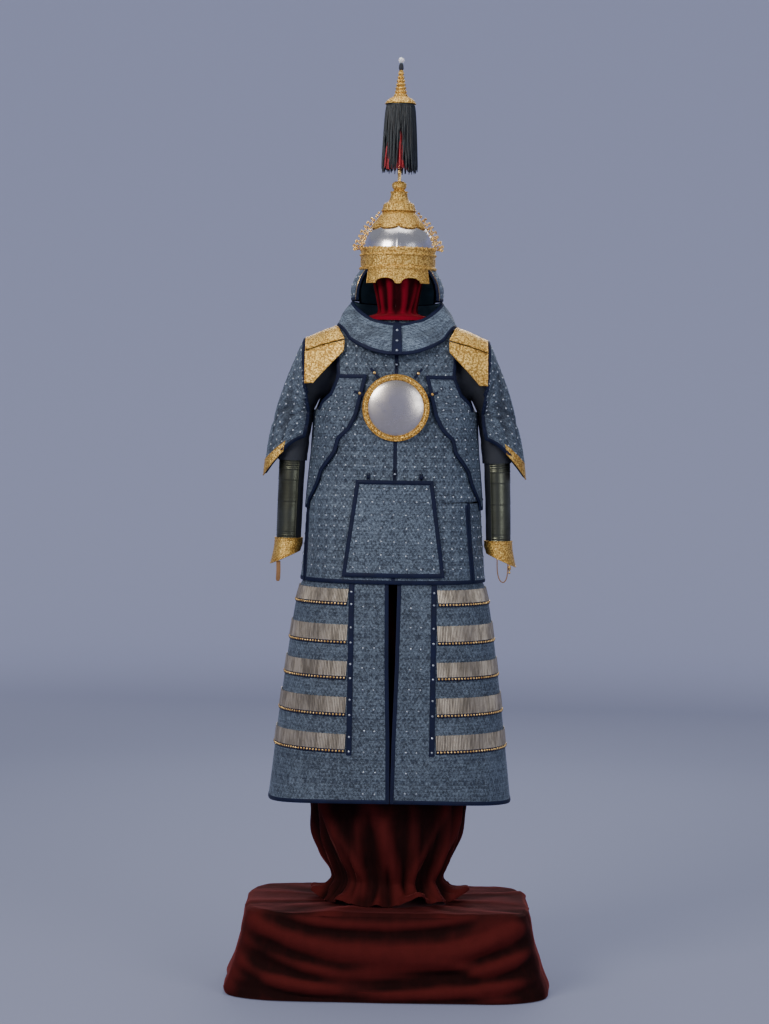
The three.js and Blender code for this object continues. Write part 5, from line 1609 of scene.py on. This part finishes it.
def wingPoint(turn, share, grow, side):
    start = archPoint(256, turn, 1.2)
    power = math.cos(turn) ** 0.8
    hem = Vector((wingHem["inner"] + (wingHem["outer"] - wingHem["inner"]) * power,
                  wingHem["depth"] * signedPower(math.sin(turn), 0.8),
                  wingHem["high"] - (wingHem["high"] - wingHem["low"]) * math.cos(turn) ** 1.4))
    place = start + (hem - start) * share
    arc = math.sin(math.pi * min(share, 1))
    swell = 20 * arc**0.8 * math.cos(turn)
    draw = -14 * arc * abs(math.sin(turn)) ** 3
    place.x += swell + draw + grow * math.cos(turn)
    place.y += grow * math.sin(turn)
    place.x *= side
    return place


def addWing(hand, side):
    columns, rows = 70, 56
    points = []
    for r in range(rows + 1):
        share = 1 - r / rows
        points.append([wingPoint((-88 + 176 * c / columns) * degree * (1 if side > 0 else -1), max(share, 1e-4), 0,
                                 side)
                       for c in range(columns + 1)])
    creases = [
        (-90, 60, -60, 300, 6.5, 16), (-40, 20, -30, 330, 4.5, 13), (20, 60, 10, 340, 7.0, 17),
        (75, 20, 50, 320, 5.0, 14),
        (130, 60, 90, 300, 6.0, 16), (-150, 80, -100, 300, 4.5, 13), (-100, 200, -10, 150, 5.0, 11),
        (110, 210, 30, 150, 5.0, 11),
        (-70, 110, -130, 190, 4.0, 10), (80, 120, 140, 190, 4.0, 10), (0, 20, 2, 150, -3.2, 14),
        (-110, 10, -104, 120, -3.0, 13),
        (108, 10, 100, 120, -3.0, 13),
    ]
    grid = makeGrid(points, quilted(30, 30, 0.8, creases, 2.6, 4.0 * side, side))
    name, lift, wall = f"shoulder_wing_{hand}", -2, 4.5
    cloth = addWall(f"{name}_cloth", grid, lift, wall, "wing", (name,), 50, True)
    trim = addTrim(name, grid, {**hanging(9), "top": 7}, lift, wall)
    caps = addCaps(name, latticePlaces(grid, 30, 30, 13, (0, 45)), lift + wall)

    tip = []
    for r in range(9):
        share = 1.02 - 0.12 * r / 8
        tip.append([wingPoint((-62 + 124 * c / 90) * degree * (1 if side > 0 else -1), share, 3.8,
                              side) for c in range(91)])
    tipGrid = makeGrid(tip, lambda u, v, p: 0.5 * abs(math.sin(u * 0.2)) * math.sin(math.pi * min(v / 28, 1)))
    tipBuild = newBuild()
    addShell(tipBuild, tipGrid, 0, 1.8)
    for border in ("top", "bottom", "left", "right"):
        line = borderOf(tipGrid, border)
        addTube(tipBuild, [p + (q - p).normalized() * 1.4 + n * 1.7 for p, q, n in line], 1.1, 5)
    makePiece(f"wing_tip_{hand}_gilt", tipBuild, "giltFine", (f"wing_tip_{hand}",), sharp=40)


# Sleeves, forearm plates and cuffs

upperSections = [(150.8, 1705, 66, 74, 90), (190, 1702, 66, 72, 86), (232, 1686, 61, 66, 68),
                 (263.5, 1640, 52.5, 60, 40),
                 (277.5, 1570, 47, 54, 12), (286, 1458, 41.8, 48.8, 2)]
plateSections = [(284.9, 1490, 38.2, 45.2, 5), (286, 1455, 38.2, 45.1, 2), (290, 1340, 37, 43, 0),
                 (293, 1226, 36, 42, 0)]
sleeve = {"lames": 44, "openTurn": 58, "sleeveCut": (0.34, 0.31), "forearmCut": (0.26, 0.27)}


# Points round a sleeve: the turn starts at the outside and the share runs down the arm
def sleevePoint(sections, turn, share, side, grow=0.0):
    place = min(max(share, 0.0), 1.0) * (len(sections) - 1)
    row = min(int(place), len(sections) - 2)
    t = place - row
    before, start = sections[max(row - 1, 0)], sections[row]
    end, after = sections[row + 1], sections[min(row + 2, len(sections) - 1)]
    x, z, halfWidth, halfDepth, tilt = (
        0.5 * (2 * b + (c - a) * t + (2 * a - 5 * b + 4 * c - d) * t**2 + (3 * b - a - 3 * c + d) * t**3)
        for a, b, c, d in zip(before, start, end, after))
    out = (halfWidth + grow) * math.cos(turn)
    return Vector((side * (x + out * math.cos(tilt * degree)), (halfDepth + grow) * math.sin(turn),
                   z + out * math.sin(tilt * degree)))


def tubeGrid(sections, side, columns, rows, grow=0.0, relief=None, turns=(0, 360)):
    points = []
    for r in range(rows + 1):
        share = 1 - r / rows
        points.append([sleevePoint(sections, (turns[0] + (turns[1] - turns[0]) * c / columns) * degree, share, side,
                                   grow)
                       for c in range(columns + 1)])
    ring = turns[1] - turns[0] == 360
    return makeGrid(points, relief, ring=ring, sense=side)


def addSleeve(hand, side):
    creases = [(-120, 120, 60, 150, 3.0, 9), (-60, 60, 100, 74, 2.4, 8), (-140, 190, 20, 176, 3.0, 10),
               (0, 20, 120, 44, 2.2, 8),
               (-100, 230, 120, 214, 2.6, 10)]
    grid = tubeGrid(upperSections, side, 60, 60, -1.0, lambda u, v, p: troughDepth(creases, u, v) - 0.2)
    build = newBuild()
    addShell(build, grid, -2.4, 2.4)
    cloth = makePiece(f"sleeve_{hand}_cloth", build, "sleeve", (f"sleeve_{hand}",), sharp=60)

    def lames(u, v, p):
        return 1.1 * ((v / 6.0) % 1.0) - 1.3

    span = 180 - sleeve["openTurn"]
    points = []
    rows = sleeve["lames"] * 3
    for r in range(rows + 1):
        share = 1 - r / rows
        points.append([sleevePoint(plateSections, (-span + 2 * span * c / 40) * degree, share,
                                   side) for c in range(41)])
    plates = makeGrid(points, lames, sense=side)
    build = newBuild()
    addShell(build, plates, -1.0, 1.0)
    for border in ("left", "right"):
        addTube(build, [p + n * 0.2 for p, q, n in borderOf(plates, border)], 1.7, 6)
    makePiece(f"forearm_plates_{hand}", build, "greenSteel", (f"sleeve_plates_{hand}",), sharp=25)
    innerGrid = tubeGrid(plateSections, side, 48, 36, -1.8, lambda u, v, p: 0.8 * noise.noise(p * 0.03) - 0.4)
    build = newBuild()
    addShell(build, innerGrid, -1.6, 1.4)
    lining = makePiece(f"forearm_lining_{hand}", build, "sleeve", sharp=60)

    cuff = tubeGrid(cuffSections, side, 72, 24, 0.0,
                    lambda u, v, p: 0.5 * abs(math.sin(u * 0.11)) * math.sin(math.pi * min(v / 72, 1)) - 0.8)
    build = newBuild()
    addShell(build, cuff, -1.6, 1.6)
    for row, radius in ((0, 1.9), (3, 0.9), (20, 0.9), (24, 1.7)):
        line = [p + n * 0.3 for p, n in zip(cuff["points"][row][:-1], cuff["normals"][row][:-1])]
        addTube(build, line, radius, 6, ring=True)
    makePiece(f"cuff_{hand}_gilt", build, "giltFine", (f"cuff_{hand}",), sharp=40)


def addCuffLoops():
    points = loopPoints()
    curve = bpy.data.curves.new("cuffLoop", "CURVE")
    curve.dimensions = "3D"
    curve.bevel_depth = cuffLoop["radius"]
    curve.bevel_resolution = 3
    curve.use_fill_caps = True
    line = curve.splines.new("POLY")
    line.points.add(len(points) - 1)
    for point, place in zip(line.points, points):
        point.co = (*place, 1.0)
    curve.materials.append(looks["strap"][1])
    loop = bpy.data.objects.new("cuff_loop_cord", curve)
    bpy.context.scene.collection.objects.link(loop)
    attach(loop, "root")
    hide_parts("cuff_loop_left")
    tuple(points[0])
    low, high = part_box("cuff_strap_right")
    width, length = (high[0] - low[0]) / mm, (high[2] - low[2]) / mm
    middle = [(a + b) / 2 / mm for a, b in zip(low, high)]
    build = newBuild()
    strap = []
    for r in range(25):
        share = r / 24
        z = middle[2] + length * (share - 0.5)
        half = width / 2 * (1 - 0.35 * max(0, 0.12 - share) / 0.12)
        bend = 2.4 * math.sin(share * 4.2)
        strap.append([Vector((middle[0] + half * (2 * c / 6 - 1) + 1.2 * math.sin(share * 3), middle[1] - bend,
                              z)) for c in range(7)])
    grid = makeGrid(strap)
    addShell(build, grid, -1.1, 2.2)
    addSquareStitches(build, grid, 1.1)
    piece = makePiece("cuff_strap", build, "strap", ("cuff_strap_right",), sharp=40)
    toggle = newBuild()
    at = cuffEdge(322)
    profile = rounded([(0.4, 0), (2.6, 1.5), (3.2, 5), (1.5, 8), (3.6, 12), (4.2, 18), (2.4, 23), (1.0, 26),
                       (0.4, 27)], 3)
    addLathe(toggle, [(radius, at[1] - 28 + z) for radius, z in profile], 16, (324, at[0] + 1.5))
    makePiece("cuff_drop", toggle, "plainGilt")


for hand, side in (("left", 1), ("right", -1)):
    addShoulderPlates(hand, side)
    addWing(hand, side)
    addSleeve(hand, side)
addCuffLoops()
print("sleeves done")


# Helmet: silver bowl, chased band with a brow plate, lobed crown cap, scrolled sides and cloth at the rim

helmet = {"rim": 1992, "bandTop": 2050, "bandInside": 101, "cap": 2157, "ridge": 1.6, "lobes": 8, "beadPitch": 5.2}
bowlProfile = [(102.5, 2050.3), (97.5, 2072), (88.5, 2092), (76, 2108), (58, 2124), (36, 2136), (0.4, 2142)]


def bowlRadius(z):
    return straightAt([(height, radius) for radius, height in bowlProfile], z)


def addBeadRow(build, radius, z, pitch, size, sides=6):
    count = round(2 * math.pi * radius / pitch)
    for k in range(count):
        turn = 2 * math.pi * k / count
        outward = Vector((math.sin(turn), -math.cos(turn), 0))
        addDome(build, outward * radius + Vector((0, 0, z)), outward, size, size, sides)


def addBowl():
    outside = rounded(bowlProfile, 5)
    inside = [(max(radius - 2.3, 0.4), z - (2.3 if z > 2120 else 0.8)) for radius, z in reversed(outside)]

    # A raised rib runs up the front, the back and the sides
    def ribs(turn, z, index):
        total = 0.0
        for k in range(4):
            away = abs(wrapped(turn - k * math.pi / 2)) * bowlRadius(z)
            total += helmet["ridge"] * math.exp(-((away / 2.2) ** 2))
        return total * (1 if index < len(outside) else 0)

    build = newBuild()
    addLathe(build, outside + inside, 144, relief=ribs)
    makePiece("bowl_silver", build, "bowl", ("helmet_bowl",))

    # Gilt cap with lobes cut into its lower edge
    rings = []
    caps = [(74.5, 2119), (70, 2124), (62, 2134), (54, 2145), (47, 2153), (44, 2157)]
    low = lambda turn: 2114 - 7 * abs(math.sin(helmet["lobes"] * turn / 2)) ** 0.8
    count = 240
    ringAt = lambda radius, z: [Vector((radius(t) * math.sin(t), -radius(t) * math.cos(t), z(t)))
                                for t in (2 * math.pi * k / count for k in range(count))]
    rings.append(ringAt(lambda t: bowlRadius(low(t)) + 1.0, low))
    rings.append(ringAt(lambda t: bowlRadius(low(t)) + 3.6, low))
    rings.append(ringAt(lambda t: bowlRadius(low(t) + 3) + 4.4, lambda t: low(t) + 3))
    for radius, z in rounded(caps, 3):
        rings.append(ringAt(lambda t, r=radius, h=z: r + 1.3 * (abs(math.sin(helmet["lobes"] * t / 2)) ** 0.7 - 0.5) *
                            min(max((2150 - h) / 30, 0), 1), lambda t, h=z: h))
    rings.append(ringAt(lambda t: 24, lambda t: 2157))
    rings.append(ringAt(lambda t: 24, lambda t: 2144))
    build = newBuild()
    addRings(build, rings)
    addBeadRow(build, 45.5, 2154, 5.6, 2.0)
    line = [Vector(((bowlRadius(low(t)) + 3.8) * math.sin(t), -(bowlRadius(low(t)) + 3.8) * math.cos(t),
                    low(t) + 1.2))
            for t in (2 * math.pi * k / count for k in range(count))]
    addTube(build, line, 1.2, 6, ring=True)
    makePiece("crown_gilt", build, "giltFine", ("helmet_crown",), sharp=40)


def addBand():
    profile = rounded([(103, 1992), (107.6, 1992), (108, 1996), (107.4, 2000), (104.4, 2002), (104.8, 2014),
                       (104.6, 2028),
                       (106.6, 2031), (107, 2034), (106.4, 2037), (104.4, 2039), (104.2, 2044), (104.8, 2050.5),
                       (102.4, 2052),
                       (101.2, 2050), (101.2, 2000), (103, 1992)], 2)

    def relief(turn, z, index):
        if index > 24:
            return 0.0
        wave = abs(math.sin(20 * turn))
        return (0.9 * wave**0.6 - 0.4) if 2003 < z < 2028 else 0.35 * abs(math.sin(52 * turn)) if z > 2039 else 0.0

    build = newBuild()
    addLathe(build, profile, 360, relief=relief)
    addBeadRow(build, 107.4, 1996.5, helmet["beadPitch"], 2.1)
    addBeadRow(build, 106.6, 2034, helmet["beadPitch"], 1.9)

    # Pointed leaves stand along the upper edge, over the foot of the bowl
    leaves = 36
    for k in range(leaves):
        turn = 2 * math.pi * k / leaves
        tall = 8 if k % 3 == 0 else 5
        outward = Vector((math.sin(turn), -math.cos(turn), 0))
        sideways = Vector((math.cos(turn), math.sin(turn), 0))
        for offset in (-1, 1):
            points = []
            for step in range(9):
                share = step / 8
                z = 2047 + tall * share
                points.append(outward * (bowlRadius(max(z, 2050.3)) + 2.2) + sideways * (
                    offset * 7.5 * (1 - share) ** 0.7 * (0.75 + 0.25 * math.cos(share * 7))) + Vector((0, 0, z)))
            addTube(build, points, [1.7 - 1.0 * s / 8 for s in range(9)], 6)
        addDome(build, outward * (bowlRadius(2053) + 1.6) + Vector((0, 0, 2053)), outward, 2.6, 2.2, 8)
    makePiece("band_gilt", build, "gilt", ("helmet_band",), sharp=40)


def browLower(across):
    arch = 14 * math.sqrt(max(0, 1 - ((across - 34) / 26) ** 2))
    return 1953 + arch - 1.8 * max(0, 1 - across / 14)


def addBrowPlate():
    points = []
    for row in range(15):
        share = row / 14
        line = []
        for c in range(141):
            angle = (102 * c / 140 - 51) * degree
            lower = browLower(abs(math.sin(angle)) * 107)
            z = lower + (1991.7 - lower) * share
            radius = 103.5 + 6 * (1 - share)
            line.append(Vector((radius * math.sin(angle), -radius * math.cos(angle), z)))
        points.append(line)
    grid = makeGrid(points, lambda u, v, p: 0.7 * abs(math.sin(u * 0.13)) * math.sin(math.pi * min(v / 38, 1)))
    build = newBuild()
    addShell(build, grid, 0, 2.2)
    for border, radius in (("bottom", 1.7), ("left", 1.4), ("right", 1.4)):
        addTube(build, [p + n * 1.6 + Vector((0, 0, 1.0 if border == "bottom" else 0)) for p, q,
                        n in borderOf(grid, border)],
                radius, 6)
    makePiece("brow_gilt", build, "giltFine", ("helmet_brow_plate",), sharp=40)


# Scrolls of the sides: each is an arc of given middle, radius and turns, thinner towards its inner end
crestScrolls = [
    (112, 2055, 8.2, -40, 420, 2.8), (121.5, 2050, 5.2, 200, -190, 2.2), (122, 2061, 4.6, -60, 300, 2.0),
    (106.5, 2070, 7.2, 200, -190, 2.5), (116, 2073, 4.8, -80, 280, 2.0), (100.5, 2084, 6.6, -60, 330, 2.4),
    (109, 2087, 4.6, 210, -160, 1.9), (94, 2098, 6.2, 190, -180, 2.3), (102.5, 2101, 4.2, -70, 280, 1.8),
    (86, 2110, 5.8, -50, 330, 2.2), (94.5, 2114, 4.0, 200, -150, 1.8), (78, 2121, 5.6, 180, -170, 2.1),
    (85.5, 2126, 3.8, -60, 280, 1.7), (69.5, 2132, 5.0, -60, 320, 2.0), (76, 2137, 3.4, 190, -150, 1.6),
    (61.5, 2143, 4.6, 170, -160, 1.8), (55, 2153, 3.6, -60, 300, 1.6),
]


def addCrest(hand, side):
    build = newBuild()
    for x, z, radius, begin, finish, thick in crestScrolls:
        points = []
        for step in range(23):
            share = step / 22
            turn = (begin + (finish - begin) * share) * degree
            size = radius * (1 - 0.68 * share)
            points.append(Vector((side * (x + size * math.cos(turn)), 1.4 * math.sin(share * 5),
                                  z + size * math.sin(turn))))
        addTube(build, points, [thick * (1 - 0.45 * step / 22) for step in range(23)], 8)
        addDome(build, Vector((side * x, -1.6, z)), Vector((0, -1, 0)), 2.0, 2.4, 8)
        addDome(build, Vector((side * x, 1.6, z)), Vector((0, 1, 0)), 2.0, 2.4, 8)
    spine = []
    for step in range(25):
        z = 2051 + (2112 - 2051) * step / 24
        spine.append(Vector((side * (bowlRadius(z) + 3.4 + 1.8 * math.sin(step * 0.9)), 0, z)))
    addTube(build, spine, [3.0 - 1.6 * step / 24 for step in range(25)], 8)
    for index in range(6):
        z = 2056 + index * 7.6
        base = Vector((side * (bowlRadius(z) + 4), 0, z))
        tip = base + Vector((side * (7 - index * 0.5), 0, 5.5))
        for sway in (-1, 1):
            points = [base.lerp(tip, s / 8) + Vector((0, sway * 2.6 * math.sin(math.pi * s / 8),
                                                      0)) for s in range(9)]
            addTube(build, points, [1.3 - 0.8 * s / 8 for s in range(9)], 6)
    makePiece(f"crest_{hand}_gilt", build, "plainGilt", (f"helmet_crest_{hand}",))


def addFinials():
    bud = rounded([(0.4, 2157.3), (46, 2157.3), (47, 2162), (44.5, 2169), (42.5, 2177), (33, 2183.5), (27, 2190),
                   (24, 2200),
                   (22, 2212), (15, 2216), (15, 2219), (19, 2224), (20.4, 2231), (19, 2236.5), (12, 2241.8),
                   (0.4, 2242)], 4)

    def petals(turn, z, index):
        if 2157.5 < z < 2182:
            return 2.0 * (abs(math.sin(8 * turn)) ** 0.6 - 0.6)
        return 1.2 * (abs(math.sin(6 * turn)) ** 0.7 - 0.6) if 2217 < z < 2240 or 2186 < z < 2210 else 0.0

    build = newBuild()
    addLathe(build, bud, 112, relief=petals)
    for radius, z, size in ((46.5, 2160, 1.9), (24.5, 2212, 1.7), (15.6, 2217, 1.5)):
        addBeadRow(build, radius - 1, z, size * 2.5, size)
    makePiece("bud_gilt", build, "giltFine", ("helmet_bud",), sharp=40)
    build = newBuild()
    addLathe(build, [(0.4, 2242.3), (5, 2242.3), (5, 2262), (5.6, 2264), (5.6, 2268), (5, 2270), (5, 2440),
                     (5, 2450), (0.4, 2450)],
             24)
    makePiece("stem_gilt", build, "plainGilt", ("plume_stem",))
    build = newBuild()
    addLathe(build, rounded([(0.4, 2458.3), (41.5, 2458.3), (42.3, 2461), (40, 2466), (35, 2470), (31, 2474),
                             (24, 2477),
                             (20, 2480), (0.4, 2480)], 4), 120,
             relief=lambda turn, z, index: 1.2 * (abs(math.sin(8 * turn)) ** 0.7 - 0.6) if 2461 < z < 2479 else 0)
    addBeadRow(build, 41, 2461, 5.0, 1.8)
    makePiece("plume_cap_gilt", build, "giltFine", ("plume_cap",), sharp=40)
    finial = [(0.4, 2480.3), (17.5, 2480.3), (19, 2483), (17.5, 2486.5)]
    for tier in range(6):
        foot, size = 2486.5 + tier * 10.2, 16.8 - tier * 1.75
        finial += [(size - 2.6, foot + 1.8), (size - 0.6, foot + 4), (size, foot + 6), (size - 0.9, foot + 8.6)]
    finial += [(6, 2549.5), (5, 2553.5), (7, 2558), (6.8, 2562), (6, 2568), (3.5, 2573), (0.4, 2573)]
    finial = rounded(finial, 3)

    def lobes(turn, z, index):
        return 1.1 * (abs(math.sin(6 * turn)) ** 0.7 - 0.6) if z < 2553 else 0.0

    build = newBuild()
    addLathe(build, [(radius, z) for radius, z in finial if z < 2553.6], 96, relief=lobes)
    makePiece("finial_gilt", build, "giltFine", ("plume_finial",), sharp=40)
    build = newBuild()
    addLathe(build, [(0.4, 2553.0)] + [(radius, z) for radius, z in finial if z >= 2553.4], 48)
    makePiece("finial_bead", build, "sleeve")
    build = newBuild()
    ball = [(max(8 * math.sin(a * 10 * degree), 0.3), 2581.3 - 8 * math.cos(a * 10 * degree)) for a in range(19)]
    addLathe(build, ball, 40, relief=lambda turn, z, index: 0.25 * math.sin(3 * turn + z))
    makePiece("pearl_shell", build, "pearl", ("finial_pearl",))


# Plume: strands that hang from a disc under the cap, dark outside and red inside
plume = {"dark": 180, "red": 64, "top": 2457.8, "bottom": 2262, "spread": 49, "root": 38}


def addPlume():
    dark, red = newBuild(), newBuild()
    addLathe(dark, [(6, 2452), (40, 2452), (41, 2455), (40, 2457.9), (6, 2457.9)], 48)
    addLathe(red, [(6, 2446.5), (23, 2446.5), (24, 2449), (23, 2451.4), (6, 2451.4)], 40)
    for k in range(plume["dark"]):
        seed = noise.noise(Vector((k * 0.73, 0.5, 2.1)))
        other = noise.noise(Vector((k * 1.31, 4.5, 0.7)))
        turn = 2 * math.pi * (k + 0.7 * seed) / plume["dark"]
        layerIn = (k % 3) * 4.2
        parted = math.exp(-((wrapped(turn - 0.03) / 0.16) ** 2)) + 0.8 * math.exp(-((wrapped(turn + 0.95) / 0.2) ** 2))
        points = []
        length = plume["top"] - plume["bottom"] - 5 - 26 * abs(other) - (10 if k % 3 == 2 else 0)
        length *= 1 - 0.62 * min(parted, 1)
        for step in range(12):
            share = step / 11
            radius = plume["root"] - layerIn + (plume["spread"] - plume["root"] + 2.5 * seed) * share**0.6
            sway = 0.05 * math.sin(share * 5 + k) * share
            points.append(Vector((radius * math.sin(turn + sway), -radius * math.cos(turn + sway),
                                  2456 - length * share)))
        radii = [2.5 * (1 - 0.15 * s / 11) * (0.45 if s == 11 else 1) for s in range(12)]
        addTube(dark, points, radii, 5)
    for k in range(plume["red"]):
        seed = noise.noise(Vector((k * 0.91, 1.5, 3.3)))
        turn = 2 * math.pi * (k + 0.6 * seed) / plume["red"]
        layerIn = (k % 2) * 5
        reach = 25 * math.exp(-((wrapped(turn - 0.03) / 0.35) ** 2)) + 24 * math.exp(-((wrapped(turn + 0.95) / 0.3) ** 2))
        points = []
        length = 176 - 30 * abs(seed)
        for step in range(10):
            share = step / 9
            radius = 20 - layerIn + (6 + reach) * share**0.55
            points.append(Vector((radius * math.sin(turn), -radius * math.cos(turn), 2449 - length * share)))
        addTube(red, points, [2.3 * (0.5 if s == 9 else 1) for s in range(10)], 5)
    makePiece("plume_dark_strands", dark, "plume", ("plume_locks",), sharp=60)
    makePiece("plume_red_strands", red, "redPlume", ("plume_core",), sharp=60)


cheekFlare = [(1900, 124), (1935, 127), (1965, 119), (1992, 102)]
cheekFront = [(1900, 62), (1940, 57), (1992, 54)]
rimCloth = {"cheekCut": (0.14, 0.085), "napeCut": (0.26, 0.097), "wall": 3}


def rimPoint(angle, z):
    radius = smoothAt(cheekFlare, z)
    return Vector((radius * math.sin(angle), -radius * math.cos(angle), z))


def addRimCloth():
    heights = spread((1908, 0), (1989.5, 18))
    for hand, side in (("left", 1), ("right", -1)):
        front = lambda z: straightAt(cheekFront, z) * degree
        points = panelPoints(front, lambda z: 122 * degree, heights, 26, rimPoint)
        for row in points:
            for point in row:
                point.x *= side
        if side < 0:
            points = [list(reversed(row)) for row in points]
        addRimPanel(f"cheek_{hand}", f"cheek_flap_{hand}", points, rimCloth["cheekCut"])
    points = panelPoints(lambda z: 123 * degree, lambda z: 237 * degree, spread((1896, 0), (1989.5, 20)), 40,
                         rimPoint)
    addRimPanel("nape", "nape_guard", points, rimCloth["napeCut"])


def addRimPanel(name, node, points, cut):
    grid = makeGrid(points, lambda u, v, p: 1.4 * noise.noise(p * 0.035) - 0.2)
    cloth = addWall(f"{name}_cloth", grid, 0.4, rimCloth["wall"], "gorget", (node,), 50, True)
    lining = addWall(f"{name}_lining", grid, -0.6, 0.9, "lining")
    trim = addTrim(name, grid, hanging(7), -0.4, rimCloth["wall"] + 0.8, 1.0)
    piping = newBuild()
    for border in ("left", "right"):
        line = [p + (q - p).normalized() * 8.4 + n * (rimCloth["wall"] + 0.6) for p, q, n in borderOf(grid, border)]
        addTube(piping, line, 0.9, 6)
    cord = makePiece(f"{name}_piping", piping, "plainGilt")
    caps = addCaps(name, latticePlaces(grid, 24, 24, 12, (0, 16)), rimCloth["wall"] + 0.4)


addBowl()
addBand()
addBrowPlate()
addCrest("left", 1)
addCrest("right", -1)
addFinials()
addPlume()
addRimCloth()
print("helmet done")


# Floor and light

# Paper colours: the far one is painted lighter where the lamps reach less, and the paper glows faintly as painted
# light
studio = {"flat": 9.0, "reach": 15.0, "rise": 9.0, "farPaperPaintedLighter": (0.6, 0.615, 0.77), "floorPaper": (0.2, 0.21, 0.285),
          "paintedGlow": 0.1,
          "air": (0.72, 0.76, 0.9), "airStrength": 0.32}


# Paper sweep: flat round the stand, then curved up all round
def addFloor():
    sides = 96
    rings = [(0.01, 0.0), (studio["flat"], 0.0)]
    for step in range(1, 13):
        turn = 90 * degree * step / 12
        rings.append((studio["flat"] + (studio["reach"] - studio["flat"]) * math.sin(turn),
                      studio["rise"] * (1 - math.cos(turn))))
    build = newBuild()
    for radius, z in rings:
        for k in range(sides):
            turn = 2 * math.pi * k / sides
            build["vertices"].append(Vector((radius * math.cos(turn), radius * math.sin(turn), z)) / mm)
    for row in range(len(rings) - 1):
        for k in range(sides):
            after = (k + 1) % sides
            addFace(build, (row * sides + k, row * sides + after, (row + 1) * sides + after, (row + 1) * sides + k))
    mesh = bpy.data.meshes.new("floor")
    mesh.from_pydata([v * mm for v in build["vertices"]], [], build["faces"])
    mesh.shade_smooth()
    # The paper glows faintly all over as painted light
    material, tree, shader, inSpace = newMaterial(
        "floorPaper", Roughness=0.95, Specular_IOR_Level=0.1, Emission_Color=colour(0.6, 0.66, 1.0),
        Emission_Strength=studio["paintedGlow"])
    away = addNode(tree, "ShaderNodeVectorMath", {0: inSpace}, operation="LENGTH").outputs[1]
    # Painted light: the paper is painted lighter away from the stand, where the lamps' light falls off
    base = mixColour(tree, between(tree, away, 4.6, 9.8), colour(*studio["floorPaper"]), colour(*studio["farPaperPaintedLighter"]))
    finishMaterial(tree, shader, base, None, noiseOf(tree, inSpace, 90.0, 2.0), 0.0002)
    mesh.materials.append(material)
    floor = bpy.data.objects.new("floor", mesh)
    bpy.context.scene.collection.objects.link(floor)


def addAir():
    world = bpy.data.worlds.new("studioAir")
    bpy.context.scene.world = world
    world.use_nodes = True
    background = world.node_tree.nodes["Background"]
    background.inputs[0].default_value = colour(*studio["air"])
    background.inputs[1].default_value = studio["airStrength"]


addFloor()
addAir()
addLight("keyLight", (-3.6, -4.6, 4.4), (0, 0, 1.3), (2.6, 2.2), 260, (1.0, 0.97, 0.93))
addLight("fillLight", (3.9, -4.8, 2.8), (0, 0, 1.2), (3.0, 3.0), 130, (0.95, 0.97, 1.0))
addLight("topLight", (0, 0.4, 5.2), (0, 0, 1.0), (3.0, 3.0), 90, (1.0, 1.0, 1.0))
addLight("backLight", (0.5, 5.0, 3.6), (0, 0, 1.4), (3.6, 2.4), 110, (0.95, 0.97, 1.0))
print("floor and light done")
